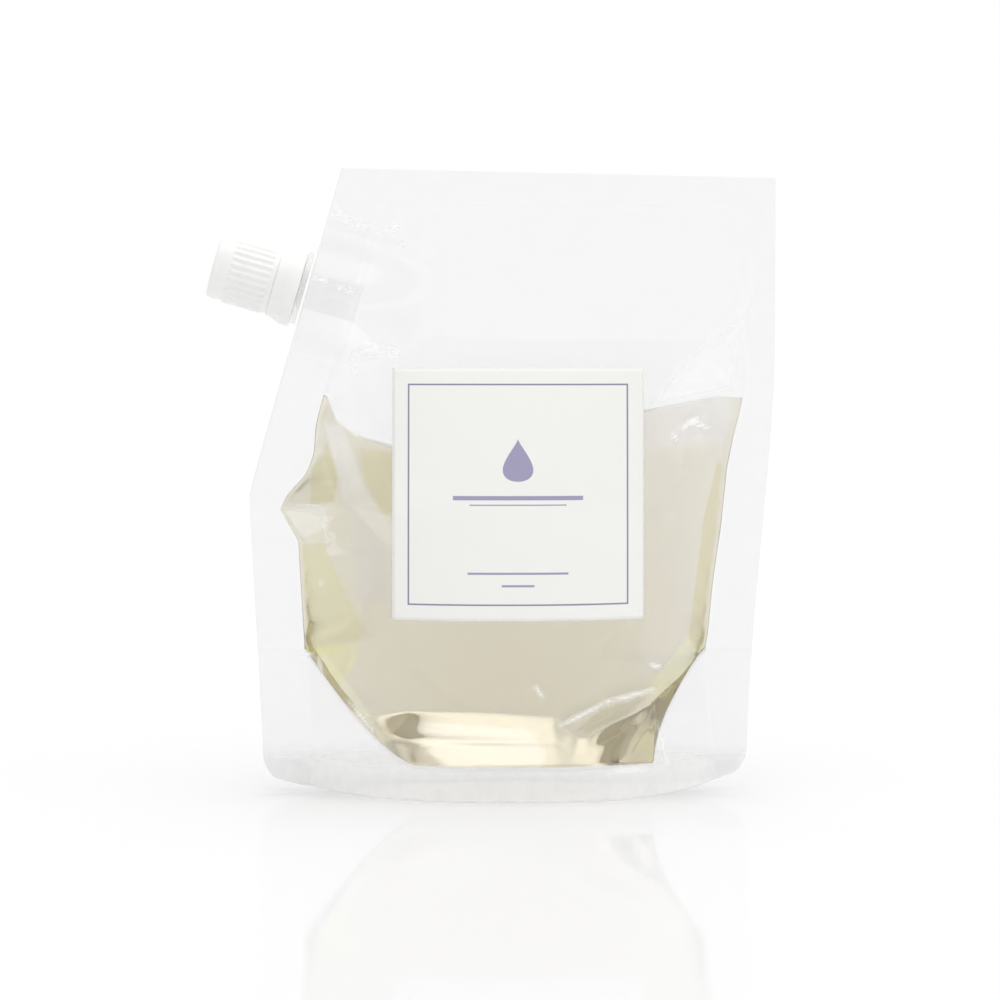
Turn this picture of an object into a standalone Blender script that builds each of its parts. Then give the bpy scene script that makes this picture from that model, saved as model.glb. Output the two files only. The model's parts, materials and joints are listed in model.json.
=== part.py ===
"""A refill pack of liquid hand soap: a clear stand-up pouch with a corner spout and a screw cap.

Metres, +Z up, +X to the right of someone facing the label, and -Y towards them. The origin is the
middle of the flat base, on the surface that the pouch stands on.
"""

import math
from dataclasses import dataclass

import bmesh
import bpy
from mathutils import Vector

MM = 0.001

# Film and clearances
FILM = 0.2 * MM
GAP = 0.3 * MM
FITTED_GAP = 0.5 * MM
LEAF_FADE = 4.5 * MM
TIP_FADE = 5.0 * MM
CHANNEL_FADE = 22.0 * MM

# Pouch outline, seen from the front
POUCH_WIDTH = 136.8 * MM
POUCH_HEIGHT = 163.3 * MM
TOP_FALL = 2.6 * MM
CUT_WIDTH = 24.7 * MM
CUT_HEIGHT = 85.3 * MM
CORNER_RADIUS = 8.0 * MM
CORNER_INSET = 5.6 * MM
LEFT_LIFT = 3.0 * MM
RIGHT_LIFT = 4.4 * MM
LEFT_PULL = 3.7 * MM
RIGHT_PULL = 7.0 * MM

# Seals and gusset
LEFT_SEAL = 12.0 * MM
RIGHT_SEAL = 7.5 * MM
BASE_SEAL = 9.0 * MM
GUSSET_HEIGHT = 42.0 * MM
LEFT_SEAL_START = 25.0 * MM
RIGHT_SEAL_START = 38.0 * MM
LEFT_FLOOR_START = 18.0 * MM
RIGHT_FLOOR_START = 28.0 * MM
FLAT_FLOOR_SHARE = 0.45
FLOOR_POWER = 1.6
LEFT_SEAL_POWER = 1.5
RIGHT_SEAL_POWER = 0.65

# Filled belly
BELLY_DEPTH = 19.4 * MM
BELLY_TOP = 119.0 * MM
BELLY_POWER = 2.8
SHOULDER_RISE = 9.0 * MM
SHOULDER_X = -44.0 * MM
SHOULDER_REACH = 20.0 * MM
SOAP_LEVEL = 96.0 * MM
SOAP_GAP = 0.6 * MM
SOAP_REACH = 0.97

# Label
LABEL_SIDE = 65.0 * MM
LABEL_X = 1.8 * MM
LABEL_BOTTOM = 47.6 * MM
LABEL_THICKNESS = 0.15 * MM
LABEL_LEAN = math.radians(13.5)

# Spout, measured along its own axis from the cut edge of the film
SPOUT_FROM_TOP = 31.8 * MM
BOAT_LENGTH = 32.0 * MM
BOAT_THICKNESS = 12.4 * MM
BOAT_TIP = 0.8 * MM
BOAT_DEPTH = 14.0 * MM
BOAT_RIM = 0.5 * MM
BOAT_RIBS = 4
BOAT_RIB_HEIGHT = 0.35 * MM
BORE_DIAMETER = 9.6 * MM
FLANGE_DIAMETER = 19.0 * MM
FLANGE_THICKNESS = 1.5 * MM
NECK_DIAMETER = 13.4 * MM
NECK_LENGTH = 21.9 * MM
NECK_ROOT = 3.5 * MM
NECK_ROOT_TAPER = 0.7 * MM
BEAD_DIAMETER = 15.4 * MM
BEAD_THICKNESS = 1.4 * MM
BEAD_HEIGHT = 2.6 * MM
MOUTH_CHAMFER = 0.4 * MM

# Thread and closure
THREAD_PITCH = 3.0 * MM
THREAD_TURNS = 2.5
THREAD_HEIGHT = 0.7 * MM
THREAD_ROD = 0.75 * MM
THREAD_RUN_IN = 1.8 * MM
CAP_THREAD_TURNS = 1.5
CAP_THREAD_ROD = 0.85 * MM
BAND_LENGTH = 6.2 * MM
BAND_WIDE_DIAMETER = 21.0 * MM
BAND_FLARE = 4.6 * MM
BAND_WALL = 1.1 * MM
BAND_EDGE = 0.3 * MM
CAP_RIB_HEIGHT = 0.35 * MM
CAP_RIBS = 32
CAP_WALL = 1.0 * MM
CAP_END = 1.3 * MM
CAP_ROUND = 1.5 * MM
RIB_START = 0.9 * MM
RIB_LENGTH = 10.6 * MM
LINER_THICKNESS = 0.7 * MM

# Dependent places on the spout's axis
FLANGE_TOP = BOAT_RIM + FLANGE_THICKNESS
BAND_START = FLANGE_TOP + GAP
CAP_START = BAND_START + BAND_LENGTH + GAP
MOUTH = BOAT_RIM + NECK_LENGTH
LINER_START = MOUTH + GAP
CAP_FLOOR = LINER_START + LINER_THICKNESS + GAP
CAP_TOP = CAP_FLOOR + CAP_END
BEAD_START = BAND_START + BEAD_HEIGHT
THREAD_START = CAP_START + THREAD_RUN_IN
THREAD_RADIUS = NECK_DIAMETER / 2 + THREAD_HEIGHT
CAP_BORE = THREAD_RADIUS + FITTED_GAP
CAP_RADIUS = CAP_BORE + CAP_WALL + CAP_RIB_HEIGHT

# Dependent places on the pouch
SPOUT_HEIGHT = POUCH_HEIGHT - SPOUT_FROM_TOP
RIGHT_X = POUCH_WIDTH / 2
LEFT_X = -POUCH_WIDTH / 2
CUT_BOTTOM = POUCH_HEIGHT - CUT_HEIGHT
CUT_SLOPE = CUT_WIDTH / CUT_HEIGHT
SPOUT_X = LEFT_X + (SPOUT_HEIGHT - CUT_BOTTOM) * CUT_SLOPE
SPOUT_TILT = math.atan(CUT_SLOPE)
SPOUT_OUT = Vector((-math.cos(SPOUT_TILT), 0.0, math.sin(SPOUT_TILT)))
SPOUT_ALONG = Vector((math.sin(SPOUT_TILT), 0.0, math.cos(SPOUT_TILT)))
LEAF_HALF_GAP = GAP / 2
GUSSET_HALF_GAP = LEAF_HALF_GAP + FILM + GAP

# Mesh fineness
SEAL_COLUMNS = 2
PANEL_COLUMNS = 18
BELLY_ROWS = 15
BELLY_ROW_POWER = 1.25
SPOUT_ROWS = 10
TOP_ROWS = 2
PANEL_ROWS = BELLY_ROWS + SPOUT_ROWS + TOP_ROWS
LEAF_ROWS = 4
FLOOR_ROWS = 10
SOAP_COLUMNS = 16
SOAP_ROWS = 16
SOAP_ROW_POWER = 1.3
LABEL_COLUMNS = 8
LABEL_ROWS = 8
ROUND_STEPS = 36
BORE_STEPS = 24
BOAT_STEPS = 24
THREAD_STEPS = 13
FLARE_STEPS = 3
CAP_ROUND_STEPS = 3


@dataclass(frozen=True)
class Crease:
    """A ridge in the front film between two points of the front view, with its height and half width."""

    start: tuple[float, float]
    end: tuple[float, float]
    height: float
    width: float


FRONT_CREASES = (
    Crease((-58 * MM, 74 * MM), (-46 * MM, 76 * MM), 1.5 * MM, 3.5 * MM),
    Crease((-49 * MM, 33 * MM), (-37 * MM, 42 * MM), 1.3 * MM, 3.5 * MM),
    Crease((20 * MM, 15 * MM), (39 * MM, 28 * MM), 1.5 * MM, 3.5 * MM),
    Crease((34 * MM, 12 * MM), (47 * MM, 27 * MM), 1.4 * MM, 3.0 * MM),
    Crease(
        (SPOUT_X + 10 * MM, SPOUT_HEIGHT - 13.5 * MM),
        (SPOUT_X + 17 * MM, SPOUT_HEIGHT - 25.5 * MM),
        1.2 * MM,
        3.0 * MM,
    ),
    Crease(
        (RIGHT_X - 10.4 * MM, BELLY_TOP + 6 * MM),
        (RIGHT_X - 27.4 * MM, BELLY_TOP - 13 * MM),
        1.2 * MM,
        4.0 * MM,
    ),
)


def smoothstep(value):
    """0 below 0, 1 above 1, and a smooth rise between."""
    value = min(max(value, 0.0), 1.0)
    return value * value * (3.0 - 2.0 * value)


def smooth_max(first, second, blend):
    """The larger of two values, with a fillet of about the blend's size where they cross."""
    return 0.5 * (first + second + math.sqrt((first - second) ** 2 + blend * blend))


def belly_depth(z):
    """Half the belly's thickness at its fullest, without the shoulder under the spout."""
    return BELLY_DEPTH * max(0.0, 1.0 - (z / BELLY_TOP) ** 2)


def side_edges(z):
    """The pouch's left and right edges at a height, before its lower corners are rounded."""
    fullness = belly_depth(z) / BELLY_DEPTH
    cut = max(0.0, z - CUT_BOTTOM) * CUT_SLOPE
    return LEFT_X + LEFT_PULL * fullness**4 + cut, RIGHT_X - RIGHT_PULL * fullness**2


def corner_inset(z, lift):
    """How far a rounded lower corner stands in from the side edge."""
    below = min(max((lift + CORNER_RADIUS - z) / CORNER_RADIUS, 0.0), 1.0)
    return CORNER_INSET * (1.0 - math.sqrt(1.0 - below * below))


def chamber(z):
    """The middle and half width of the space between the side seals at a height."""
    left, right = side_edges(z)
    left += LEFT_SEAL
    right -= RIGHT_SEAL
    return (left + right) / 2, (right - left) / 2


def across(share):
    """A place from 0 to 1 across the pouch as -1 to 1 in the chamber, and on to -2 and 2 in the seals."""
    seal_share = SEAL_COLUMNS / (PANEL_COLUMNS + 2 * SEAL_COLUMNS)
    if share < seal_share:
        return -2.0 + share / seal_share
    if share > 1.0 - seal_share:
        return 2.0 - (1.0 - share) / seal_share
    return -1.0 + 2.0 * (share - seal_share) / (1.0 - 2.0 * seal_share)


def place_x(place, z):
    """The X of a place across the pouch, -2 to 2, at a height."""
    middle, half = chamber(z)
    left, right = side_edges(z)
    if place < -1.0:
        inner = middle - half
        edge = left + corner_inset(z, LEFT_LIFT)
        return inner + (edge - inner) * (-1.0 - place)
    if place > 1.0:
        inner = middle + half
        edge = right - corner_inset(z, RIGHT_LIFT)
        return inner + (edge - inner) * (place - 1.0)
    return middle + place * half


def base_lift(place):
    """How far the base edge stands off the surface at a place across the pouch."""
    lift, edge = (LEFT_LIFT, -2.0) if place < 0.0 else (RIGHT_LIFT, 2.0)
    share = place_x(place, lift) / place_x(edge, lift)
    return lift * max(share, 0.0) ** 5


def boat_half(along):
    """Half the thickness of the spout's boat at a distance along it from its middle."""
    half_length = BOAT_LENGTH / 2
    share = min(abs(along) / half_length, 1.0)
    swell = BOAT_THICKNESS / 2 - BOAT_TIP / 2
    return BOAT_TIP / 2 + swell * math.cos(share * math.pi / 2) ** 2


def film_over_boat(x, z):
    """Half the thickness that the spout and its way into the pouch give the film."""
    from_spout = Vector((x - SPOUT_X, 0.0, z - SPOUT_HEIGHT))
    out = from_spout.dot(SPOUT_OUT)
    along = from_spout.dot(SPOUT_ALONG)
    past_tip = max(0.0, abs(along) - BOAT_LENGTH / 2)
    height = boat_half(along) + BOAT_RIB_HEIGHT + FITTED_GAP
    height *= 1.0 - smoothstep(past_tip / TIP_FADE)
    return height * (1.0 - smoothstep((-out - BOAT_DEPTH - BOAT_RIM) / CHANNEL_FADE))


def half_thickness(x, z):
    """Half the distance between the inner faces of the two panels."""
    middle, half = chamber(z)
    share = abs(x - middle) / half
    shoulder = SHOULDER_RISE * math.exp(-(((x - SHOULDER_X) / SHOULDER_REACH) ** 2))
    top = BELLY_TOP + shoulder
    depth = BELLY_DEPTH * max(0.0, 1.0 - (z / top) ** 2)
    belly = depth * max(0.0, 1.0 - share**BELLY_POWER)
    above_gusset = smoothstep((z - GUSSET_HEIGHT - FILM - GAP) / LEAF_FADE)
    least = GUSSET_HALF_GAP + (LEAF_HALF_GAP - GUSSET_HALF_GAP) * above_gusset
    filled = smooth_max(belly, least, GAP)
    return max(filled, smooth_max(film_over_boat(x, z), least, GAP))


def crease_height(x, z):
    """How far the creases lift the front film at a point of the front view."""
    lift = 0.0
    for crease in FRONT_CREASES:
        start = Vector(crease.start)
        run = Vector(crease.end) - start
        point = Vector((x, z)) - start
        share = min(max(point.dot(run) / run.length_squared, 0.0), 1.0)
        distance = (point - run * share).length
        lift += crease.height * math.exp(-((distance / crease.width) ** 2))
    return lift


def row_share(share):
    """The share of the height at a share of a panel's rows, which are closest at the base and the spout."""
    reach = BOAT_LENGTH / 2 + TIP_FADE
    low = (SPOUT_HEIGHT - reach) / POUCH_HEIGHT
    high = (SPOUT_HEIGHT + reach) / POUCH_HEIGHT
    row = share * PANEL_ROWS
    if row <= BELLY_ROWS:
        return low * (row / BELLY_ROWS) ** BELLY_ROW_POWER
    over_belly = row - BELLY_ROWS
    if over_belly <= SPOUT_ROWS:
        return low + (high - low) * over_belly / SPOUT_ROWS
    return high + (1.0 - high) * (over_belly - SPOUT_ROWS) / TOP_ROWS


def panel_height(place, share):
    """The Z of a place on a panel, from the base edge at 0 to the top edge at 1."""
    z = share * POUCH_HEIGHT
    x = place_x(place, z)
    top_width = POUCH_WIDTH - CUT_WIDTH
    fall = TOP_FALL * (x - LEFT_X - CUT_WIDTH) / top_width
    return z + base_lift(place) * (1.0 - share) ** 8 - fall * share**8


def seal_height(place):
    """The top of the seal between the gusset and the panels at a place across the chamber."""
    half = chamber(0.0)[1]
    start = (LEFT_SEAL_START if place < 0.0 else RIGHT_SEAL_START) / half
    share = min(max((abs(place) - start) / (1.0 - start), 0.0), 1.0)
    power = LEFT_SEAL_POWER if place < 0.0 else RIGHT_SEAL_POWER
    return BASE_SEAL + (GUSSET_HEIGHT - BASE_SEAL) * share**power


def floor_height(place):
    """The height of the gusset's floor on the pouch's middle plane."""
    half = chamber(0.0)[1]
    start = (LEFT_FLOOR_START if place < 0.0 else RIGHT_FLOOR_START) / half
    share = min(max((abs(place) - start) / (1.0 - start), 0.0), 1.0)
    return GUSSET_HEIGHT * share**FLOOR_POWER


def make_material(name, colour, roughness, metallic=0.0, alpha=1.0):
    """A Principled material with a plain colour."""
    material = bpy.data.materials.new(name)
    material.use_nodes = True
    shader = material.node_tree.nodes["Principled BSDF"]
    shader.inputs["Base Color"].default_value = (*colour, 1.0)
    shader.inputs["Roughness"].default_value = roughness
    shader.inputs["Metallic"].default_value = metallic
    shader.inputs["Alpha"].default_value = alpha
    material.diffuse_color = (*colour, alpha)
    return material


def add_object(name, bm, collection, material=None, parent=None):
    """An object made from a bmesh, in a collection."""
    mesh = bpy.data.meshes.new(name)
    bm.to_mesh(mesh)
    bm.free()
    obj = bpy.data.objects.new(name, mesh)
    collection.objects.link(obj)
    obj.parent = parent
    if material:
        mesh.materials.append(material)
    return obj


def shade_round(obj, angle=35.0):
    """Smooth shading that keeps the real edges sharp."""
    obj.data.shade_smooth()
    obj.data.set_sharp_from_angle(angle=math.radians(angle))


def grid_surface(columns, rows, place):
    """A grid whose points from (0, 0) to (1, 1) are put where the function says."""
    bm = bmesh.new()
    bmesh.ops.create_grid(bm, x_segments=columns, y_segments=rows, size=0.5)
    for vert in bm.verts:
        vert.co = place(vert.co.x + 0.5, vert.co.y + 0.5)
    return bm


def thicken(obj, thickness):
    """Gives an open surface its thickness on the side that its normals point to."""
    wall = obj.modifiers.new("Film thickness", "SOLIDIFY")
    wall.thickness = thickness
    wall.offset = 1.0
    return wall


def make_panel(name, side, collection, material):
    """One film panel: side is -1 for the front and 1 for the back."""

    def place(u, v):
        spot = across(u if side < 0 else 1.0 - u)
        z = panel_height(spot, row_share(v))
        x = place_x(spot, z)
        depth = half_thickness(x, z)
        if side < 0:
            depth += crease_height(x, z)
        return Vector((x, side * depth, z))

    bm = grid_surface(PANEL_COLUMNS + 2 * SEAL_COLUMNS, PANEL_ROWS, place)
    panel = add_object(name, bm, collection, material)
    thicken(panel, FILM)
    shade_round(panel, 60.0)
    return panel


def make_gusset(collection, material):
    """The folded film between the panels: two sealed leaves and the floor between them."""
    rows = 2 * LEAF_ROWS + FLOOR_ROWS

    def place(u, v):
        spot = across(u)
        row = round(v * rows)
        side = -1.0 if row * 2 < rows else 1.0
        from_edge = min(row, rows - row)
        inside = max(-1.0, min(1.0, spot))
        top = seal_height(inside)
        bottom = base_lift(spot)
        if from_edge <= LEAF_ROWS:
            z = bottom + (top - bottom) * from_edge / LEAF_ROWS
            reach = 1.0
        else:
            reach = abs(1.0 - 2.0 * (row - LEAF_ROWS) / FLOOR_ROWS)
            low = floor_height(inside)
            rise = max(0.0, (reach - FLAT_FLOOR_SHARE) / (1.0 - FLAT_FLOOR_SHARE)) ** 2
            z = low + (top - low) * rise
        level = z if from_edge <= LEAF_ROWS else top
        x = place_x(spot, level)
        depth = half_thickness(x, level) - GAP - FILM
        return Vector((x, side * reach * depth, z))

    columns = PANEL_COLUMNS + 2 * SEAL_COLUMNS
    gusset = add_object("bottom_gusset", grid_surface(columns, rows, place), collection, material)
    thicken(gusset, FILM)
    shade_round(gusset, 50.0)
    return gusset


def make_soap(collection, material):
    """The liquid: one half to the middle plane, mirrored."""
    rows = SOAP_ROWS
    lowest = FILM + SOAP_GAP

    def reach_at(z, side):
        over_floor = min(max((z - lowest) / GUSSET_HEIGHT, 0.0), 1.0)
        start = LEFT_FLOOR_START if side < 0 else RIGHT_FLOOR_START
        start /= chamber(0.0)[1]
        return min(SOAP_REACH, start + (1.0 - start) * over_floor ** (1.0 / FLOOR_POWER))

    def place(u, v):
        row = round(v * (rows + 2)) - 1
        share = min(max(row / rows, 0.0), 1.0)
        z = lowest + (SOAP_LEVEL - lowest) * share**SOAP_ROW_POWER
        left = -reach_at(z, -1)
        right = reach_at(z, 1)
        spot = left + (right - left) * u
        x = place_x(spot, z)
        if row < 0 or row > rows or u < 1e-6 or u > 1.0 - 1e-6:
            return Vector((x, 0.0, z))
        top = seal_height(spot)
        if z >= top + SOAP_GAP:
            depth = half_thickness(x, z) - SOAP_GAP
        else:
            low = floor_height(spot)
            rise = max(0.0, z - lowest - low) / max(top - low, GAP)
            reach = FLAT_FLOOR_SHARE + (1.0 - FLAT_FLOOR_SHARE) * math.sqrt(min(rise, 1.0))
            rim = half_thickness(place_x(spot, top), top) - GAP - FILM
            depth = reach * min(rim, half_thickness(x, z) - GAP - FILM) - SOAP_GAP
        return Vector((x, -max(depth, 0.0), z))

    bm = grid_surface(SOAP_COLUMNS, rows + 2, place)
    bmesh.ops.remove_doubles(bm, verts=bm.verts, dist=1e-6)
    soap = add_object("liquid_soap", bm, collection, material)
    mirror = soap.modifiers.new("Back half", "MIRROR")
    mirror.use_axis = (False, True, False)
    mirror.merge_threshold = 1e-6
    shade_round(soap, 50.0)
    return soap


def make_label(collection, material):
    """The square paper label, lying on the front panel's outer face."""

    def place(u, v):
        x = LABEL_X + (u - 0.5) * LABEL_SIDE
        z = LABEL_BOTTOM + v * LABEL_SIDE * math.cos(LABEL_LEAN)
        depth = half_thickness(x, z) + crease_height(x, z) + FILM + GAP
        return Vector((x, -depth, z))

    label = add_object("front_label", grid_surface(LABEL_COLUMNS, LABEL_ROWS, place), collection, material)
    thicken(label, LABEL_THICKNESS)
    shade_round(label, 60.0)
    return label


def extrude_end(bm, face):
    """Extrudes the end face of a solid and gives back the new end, still in the old one's place."""
    first = len(bm.faces) == 1
    made = bmesh.ops.extrude_face_region(bm, geom=[face])["geom"]
    if not first:
        bmesh.ops.delete(bm, geom=[face], context="FACES_ONLY")
    return next(item for item in made if isinstance(item, bmesh.types.BMFace))


def make_boat(collection, parent, material):
    """The boat of the spout: its lens outline extruded along the axis, with raised weld ribs."""
    bm = bmesh.new()
    bmesh.ops.create_circle(bm, cap_ends=True, segments=BOAT_STEPS, radius=1.0)
    half_length = BOAT_LENGTH / 2
    for vert in bm.verts:
        share = vert.co.x
        blunt = math.sqrt(max(0.0, 1.0 - share**8))
        side = 0.0 if abs(vert.co.y) < 1e-6 else math.copysign(1.0, vert.co.y)
        along = share * half_length
        vert.co = (along, side * boat_half(along) * blunt, -BOAT_DEPTH)
    steps = 2 * BOAT_RIBS + 1
    pitch = (BOAT_DEPTH - BOAT_RIM) / steps
    level_heights = []
    for step in range(steps):
        proud = BOAT_RIB_HEIGHT if step % 2 else 0.0
        level_heights.append((-BOAT_DEPTH + step * pitch, proud))
        level_heights.append((-BOAT_DEPTH + (step + 1) * pitch, proud))
    level_heights.append((BOAT_RIM, 0.0))
    outline = {round(vert.co.x, 7): abs(vert.co.y) for vert in bm.verts}
    face = bm.faces[:][0]
    for height, proud in level_heights[1:]:
        face = extrude_end(bm, face)
        for vert in face.verts:
            plain = outline[round(vert.co.x, 7)]
            if plain > 1e-7:
                vert.co.y = math.copysign(plain + proud, vert.co.y)
            vert.co.z = height
    bmesh.ops.remove_doubles(bm, verts=bm.verts, dist=1e-6)
    bmesh.ops.recalc_face_normals(bm, faces=bm.faces)
    return add_object("spout", bm, collection, material, parent)


def turned_solid(name, profile, collection, parent, material=None, steps=ROUND_STEPS):
    """A solid of revolution about the parent's Z, from (radius, height) points down its outer side."""
    bm = bmesh.new()
    verts = [bm.verts.new((radius, 0.0, height)) for radius, height in profile]
    for first, second in zip(verts, verts[1:]):
        bm.edges.new((first, second))
    if profile[0][0] > 0.0:
        bm.edges.new((verts[-1], verts[0]))
    obj = add_object(name, bm, collection, material, parent)
    screw = obj.modifiers.new("Turned", "SCREW")
    screw.axis = "Z"
    screw.steps = steps
    screw.render_steps = steps
    screw.use_merge_vertices = True
    screw.merge_threshold = 1e-6
    return obj


def make_thread(name, radius, rod, start, turns, collection, parent):
    """A helical ridge: a round rod along a helix, as a closed mesh."""
    steps = int(turns * THREAD_STEPS)
    curve = bpy.data.curves.new(name, "CURVE")
    curve.dimensions = "3D"
    curve.bevel_depth = rod
    curve.bevel_resolution = 2
    curve.use_fill_caps = True
    helix = curve.splines.new("POLY")
    helix.points.add(steps)
    for index, point in enumerate(helix.points):
        angle = math.tau * turns * index / steps
        height = start + THREAD_PITCH * turns * index / steps
        point.co = (radius * math.cos(angle), radius * math.sin(angle), height, 1.0)
    guide = bpy.data.objects.new(name + "_guide", curve)
    collection.objects.link(guide)
    guide.parent = parent
    graph = bpy.context.evaluated_depsgraph_get()
    mesh = bpy.data.meshes.new_from_object(guide.evaluated_get(graph))
    bpy.data.objects.remove(guide)
    bm = bmesh.new()
    bm.from_mesh(mesh)
    bmesh.ops.remove_doubles(bm, verts=bm.verts, dist=1e-6)
    bmesh.ops.recalc_face_normals(bm, faces=bm.faces)
    bpy.data.meshes.remove(mesh)
    thread = add_object(name, bm, collection, None, parent)
    hide_helper(thread)
    return thread


def hide_helper(obj):
    """Keeps a cutter or a joined piece out of the model."""
    obj.hide_render = True
    obj.display_type = "WIRE"


def combine(obj, helper, operation):
    """Joins a helper to an object, or cuts it from the object."""
    boolean = obj.modifiers.new(helper.name, "BOOLEAN")
    boolean.operation = operation
    boolean.object = helper
    boolean.solver = "EXACT"


def make_spout(parts, cutters, parent, material):
    """The moulded spout: boat, flange, neck with its retaining bead and thread, and the bore."""
    spout = make_boat(parts, parent, material)
    neck = NECK_DIAMETER / 2
    bead = BEAD_DIAMETER / 2
    outside = [
        (0.0, MOUTH),
        (neck - MOUTH_CHAMFER, MOUTH),
        (neck, MOUTH - MOUTH_CHAMFER),
        (neck, BEAD_START + BEAD_THICKNESS),
        (bead, BEAD_START + BEAD_THICKNESS / 2),
        (bead, BEAD_START),
        (neck, BEAD_START),
        (neck, FLANGE_TOP),
        (FLANGE_DIAMETER / 2, FLANGE_TOP),
        (FLANGE_DIAMETER / 2, BOAT_RIM),
        (neck, BOAT_RIM),
        (neck - NECK_ROOT_TAPER, BOAT_RIM - NECK_ROOT),
        (0.0, BOAT_RIM - NECK_ROOT),
    ]
    neck_solid = turned_solid("neck_form", outside, cutters, parent)
    hide_helper(neck_solid)
    combine(spout, neck_solid, "UNION")
    thread = make_thread(
        "neck_thread", THREAD_RADIUS - THREAD_ROD, THREAD_ROD, THREAD_START, THREAD_TURNS, cutters, parent
    )
    combine(spout, thread, "UNION")
    bore_radius = BORE_DIAMETER / 2
    bore = [
        (0.0, MOUTH + BOAT_RIM),
        (bore_radius, MOUTH + BOAT_RIM),
        (bore_radius, -BOAT_DEPTH - BOAT_RIM),
        (0.0, -BOAT_DEPTH - BOAT_RIM),
    ]
    bore_solid = turned_solid("bore_form", bore, cutters, parent, steps=BORE_STEPS)
    hide_helper(bore_solid)
    combine(spout, bore_solid, "DIFFERENCE")
    shade_round(spout)
    return spout


def make_band(parts, parent, material):
    """The tamper band: a flared ring whose inner lip is held under the neck's bead."""
    wide = BAND_WIDE_DIAMETER / 2
    narrow = CAP_RADIUS
    top = BAND_START + BAND_LENGTH
    inner = BEAD_DIAMETER / 2 + FITTED_GAP
    lip = NECK_DIAMETER / 2 + GAP
    lip_top = BEAD_START - GAP
    flare = []
    for step in range(FLARE_STEPS + 1):
        share = step / FLARE_STEPS
        flare.append((narrow + (wide - narrow) * smoothstep(share), top - BAND_FLARE * share))
    profile = flare + [
        (wide, BAND_START + BAND_EDGE),
        (wide - BAND_EDGE, BAND_START),
        (wide - BAND_WALL, BAND_START),
        (inner, BAND_START + BAND_WALL / 2),
        (lip, lip_top - BAND_WALL / 2),
        (lip, lip_top),
        (inner, lip_top),
        (inner, top),
    ]
    band = turned_solid("tamper_band", profile, parts, parent, material)
    shade_round(band)
    return band


def make_liner(parts, parent, material):
    """The sealing disc in the cap's end."""
    bm = bmesh.new()
    bmesh.ops.create_cone(
        bm,
        cap_ends=True,
        segments=ROUND_STEPS,
        radius1=CAP_BORE - GAP,
        radius2=CAP_BORE - GAP,
        depth=LINER_THICKNESS,
    )
    bmesh.ops.translate(bm, verts=bm.verts, vec=(0.0, 0.0, LINER_START + LINER_THICKNESS / 2))
    liner = add_object("cap_liner", bm, parts, material, parent)
    shade_round(liner)
    return liner


def make_cap(parts, cutters, parent, material):
    """The screw cap: a turned shell with a rounded end, raised grip ribs and an inner thread."""
    root = CAP_RADIUS - CAP_RIB_HEIGHT
    segments = CAP_RIBS * 2
    bm = bmesh.new()
    bmesh.ops.create_circle(bm, cap_ends=True, segments=segments, radius=root)
    bmesh.ops.translate(bm, verts=bm.verts, vec=(0.0, 0.0, CAP_START))
    levels = [(root, CAP_START + RIB_START), (root, CAP_START + RIB_START + RIB_LENGTH)]
    for step in range(CAP_ROUND_STEPS + 1):
        angle = math.pi / 2 * step / CAP_ROUND_STEPS
        radius = root - CAP_ROUND * (1.0 - math.cos(angle))
        levels.append((radius, CAP_TOP - CAP_ROUND * (1.0 - math.sin(angle))))
    face = bm.faces[:][0]
    for radius, height in levels:
        face = extrude_end(bm, face)
        for vert in face.verts:
            flat = Vector((vert.co.x, vert.co.y, 0.0)).normalized() * radius
            vert.co = (flat.x, flat.y, height)
    bmesh.ops.remove_doubles(bm, verts=bm.verts, dist=1e-6)
    bmesh.ops.recalc_face_normals(bm, faces=bm.faces)
    raise_ribs(bm, segments)
    cap = add_object("cap", bm, parts, material, parent)
    inside = [
        (0.0, CAP_FLOOR),
        (CAP_BORE, CAP_FLOOR),
        (CAP_BORE, CAP_START - RIB_START),
        (0.0, CAP_START - RIB_START),
    ]
    hollow = turned_solid("cap_hollow", inside, cutters, parent)
    hide_helper(hollow)
    combine(cap, hollow, "DIFFERENCE")
    thread = make_thread(
        "cap_thread",
        CAP_BORE,
        CAP_THREAD_ROD,
        THREAD_START + THREAD_PITCH / 2,
        CAP_THREAD_TURNS,
        cutters,
        parent,
    )
    combine(cap, thread, "UNION")
    shade_round(cap)
    return cap


def raise_ribs(bm, segments):
    """Extrudes every second face of the cap's rib zone outwards."""
    low = CAP_START + RIB_START
    high = low + RIB_LENGTH
    ribs = []
    for face in bm.faces:
        middle = face.calc_center_median()
        if not low < middle.z < high or abs(face.normal.z) > 0.1:
            continue
        turn = math.atan2(middle.y, middle.x) / math.tau * segments
        if int(math.floor(turn)) % 2 == 0:
            ribs.append(face)
    for face in bmesh.ops.extrude_discrete_faces(bm, faces=ribs)["faces"]:
        middle = face.calc_center_median()
        outward = Vector((middle.x, middle.y, 0.0)).normalized() * CAP_RIB_HEIGHT
        for vert in face.verts:
            vert.co += outward


def clear_scene():
    """Removes whatever the scene holds."""
    for obj in list(bpy.data.objects):
        bpy.data.objects.remove(obj, do_unlink=True)


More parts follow.
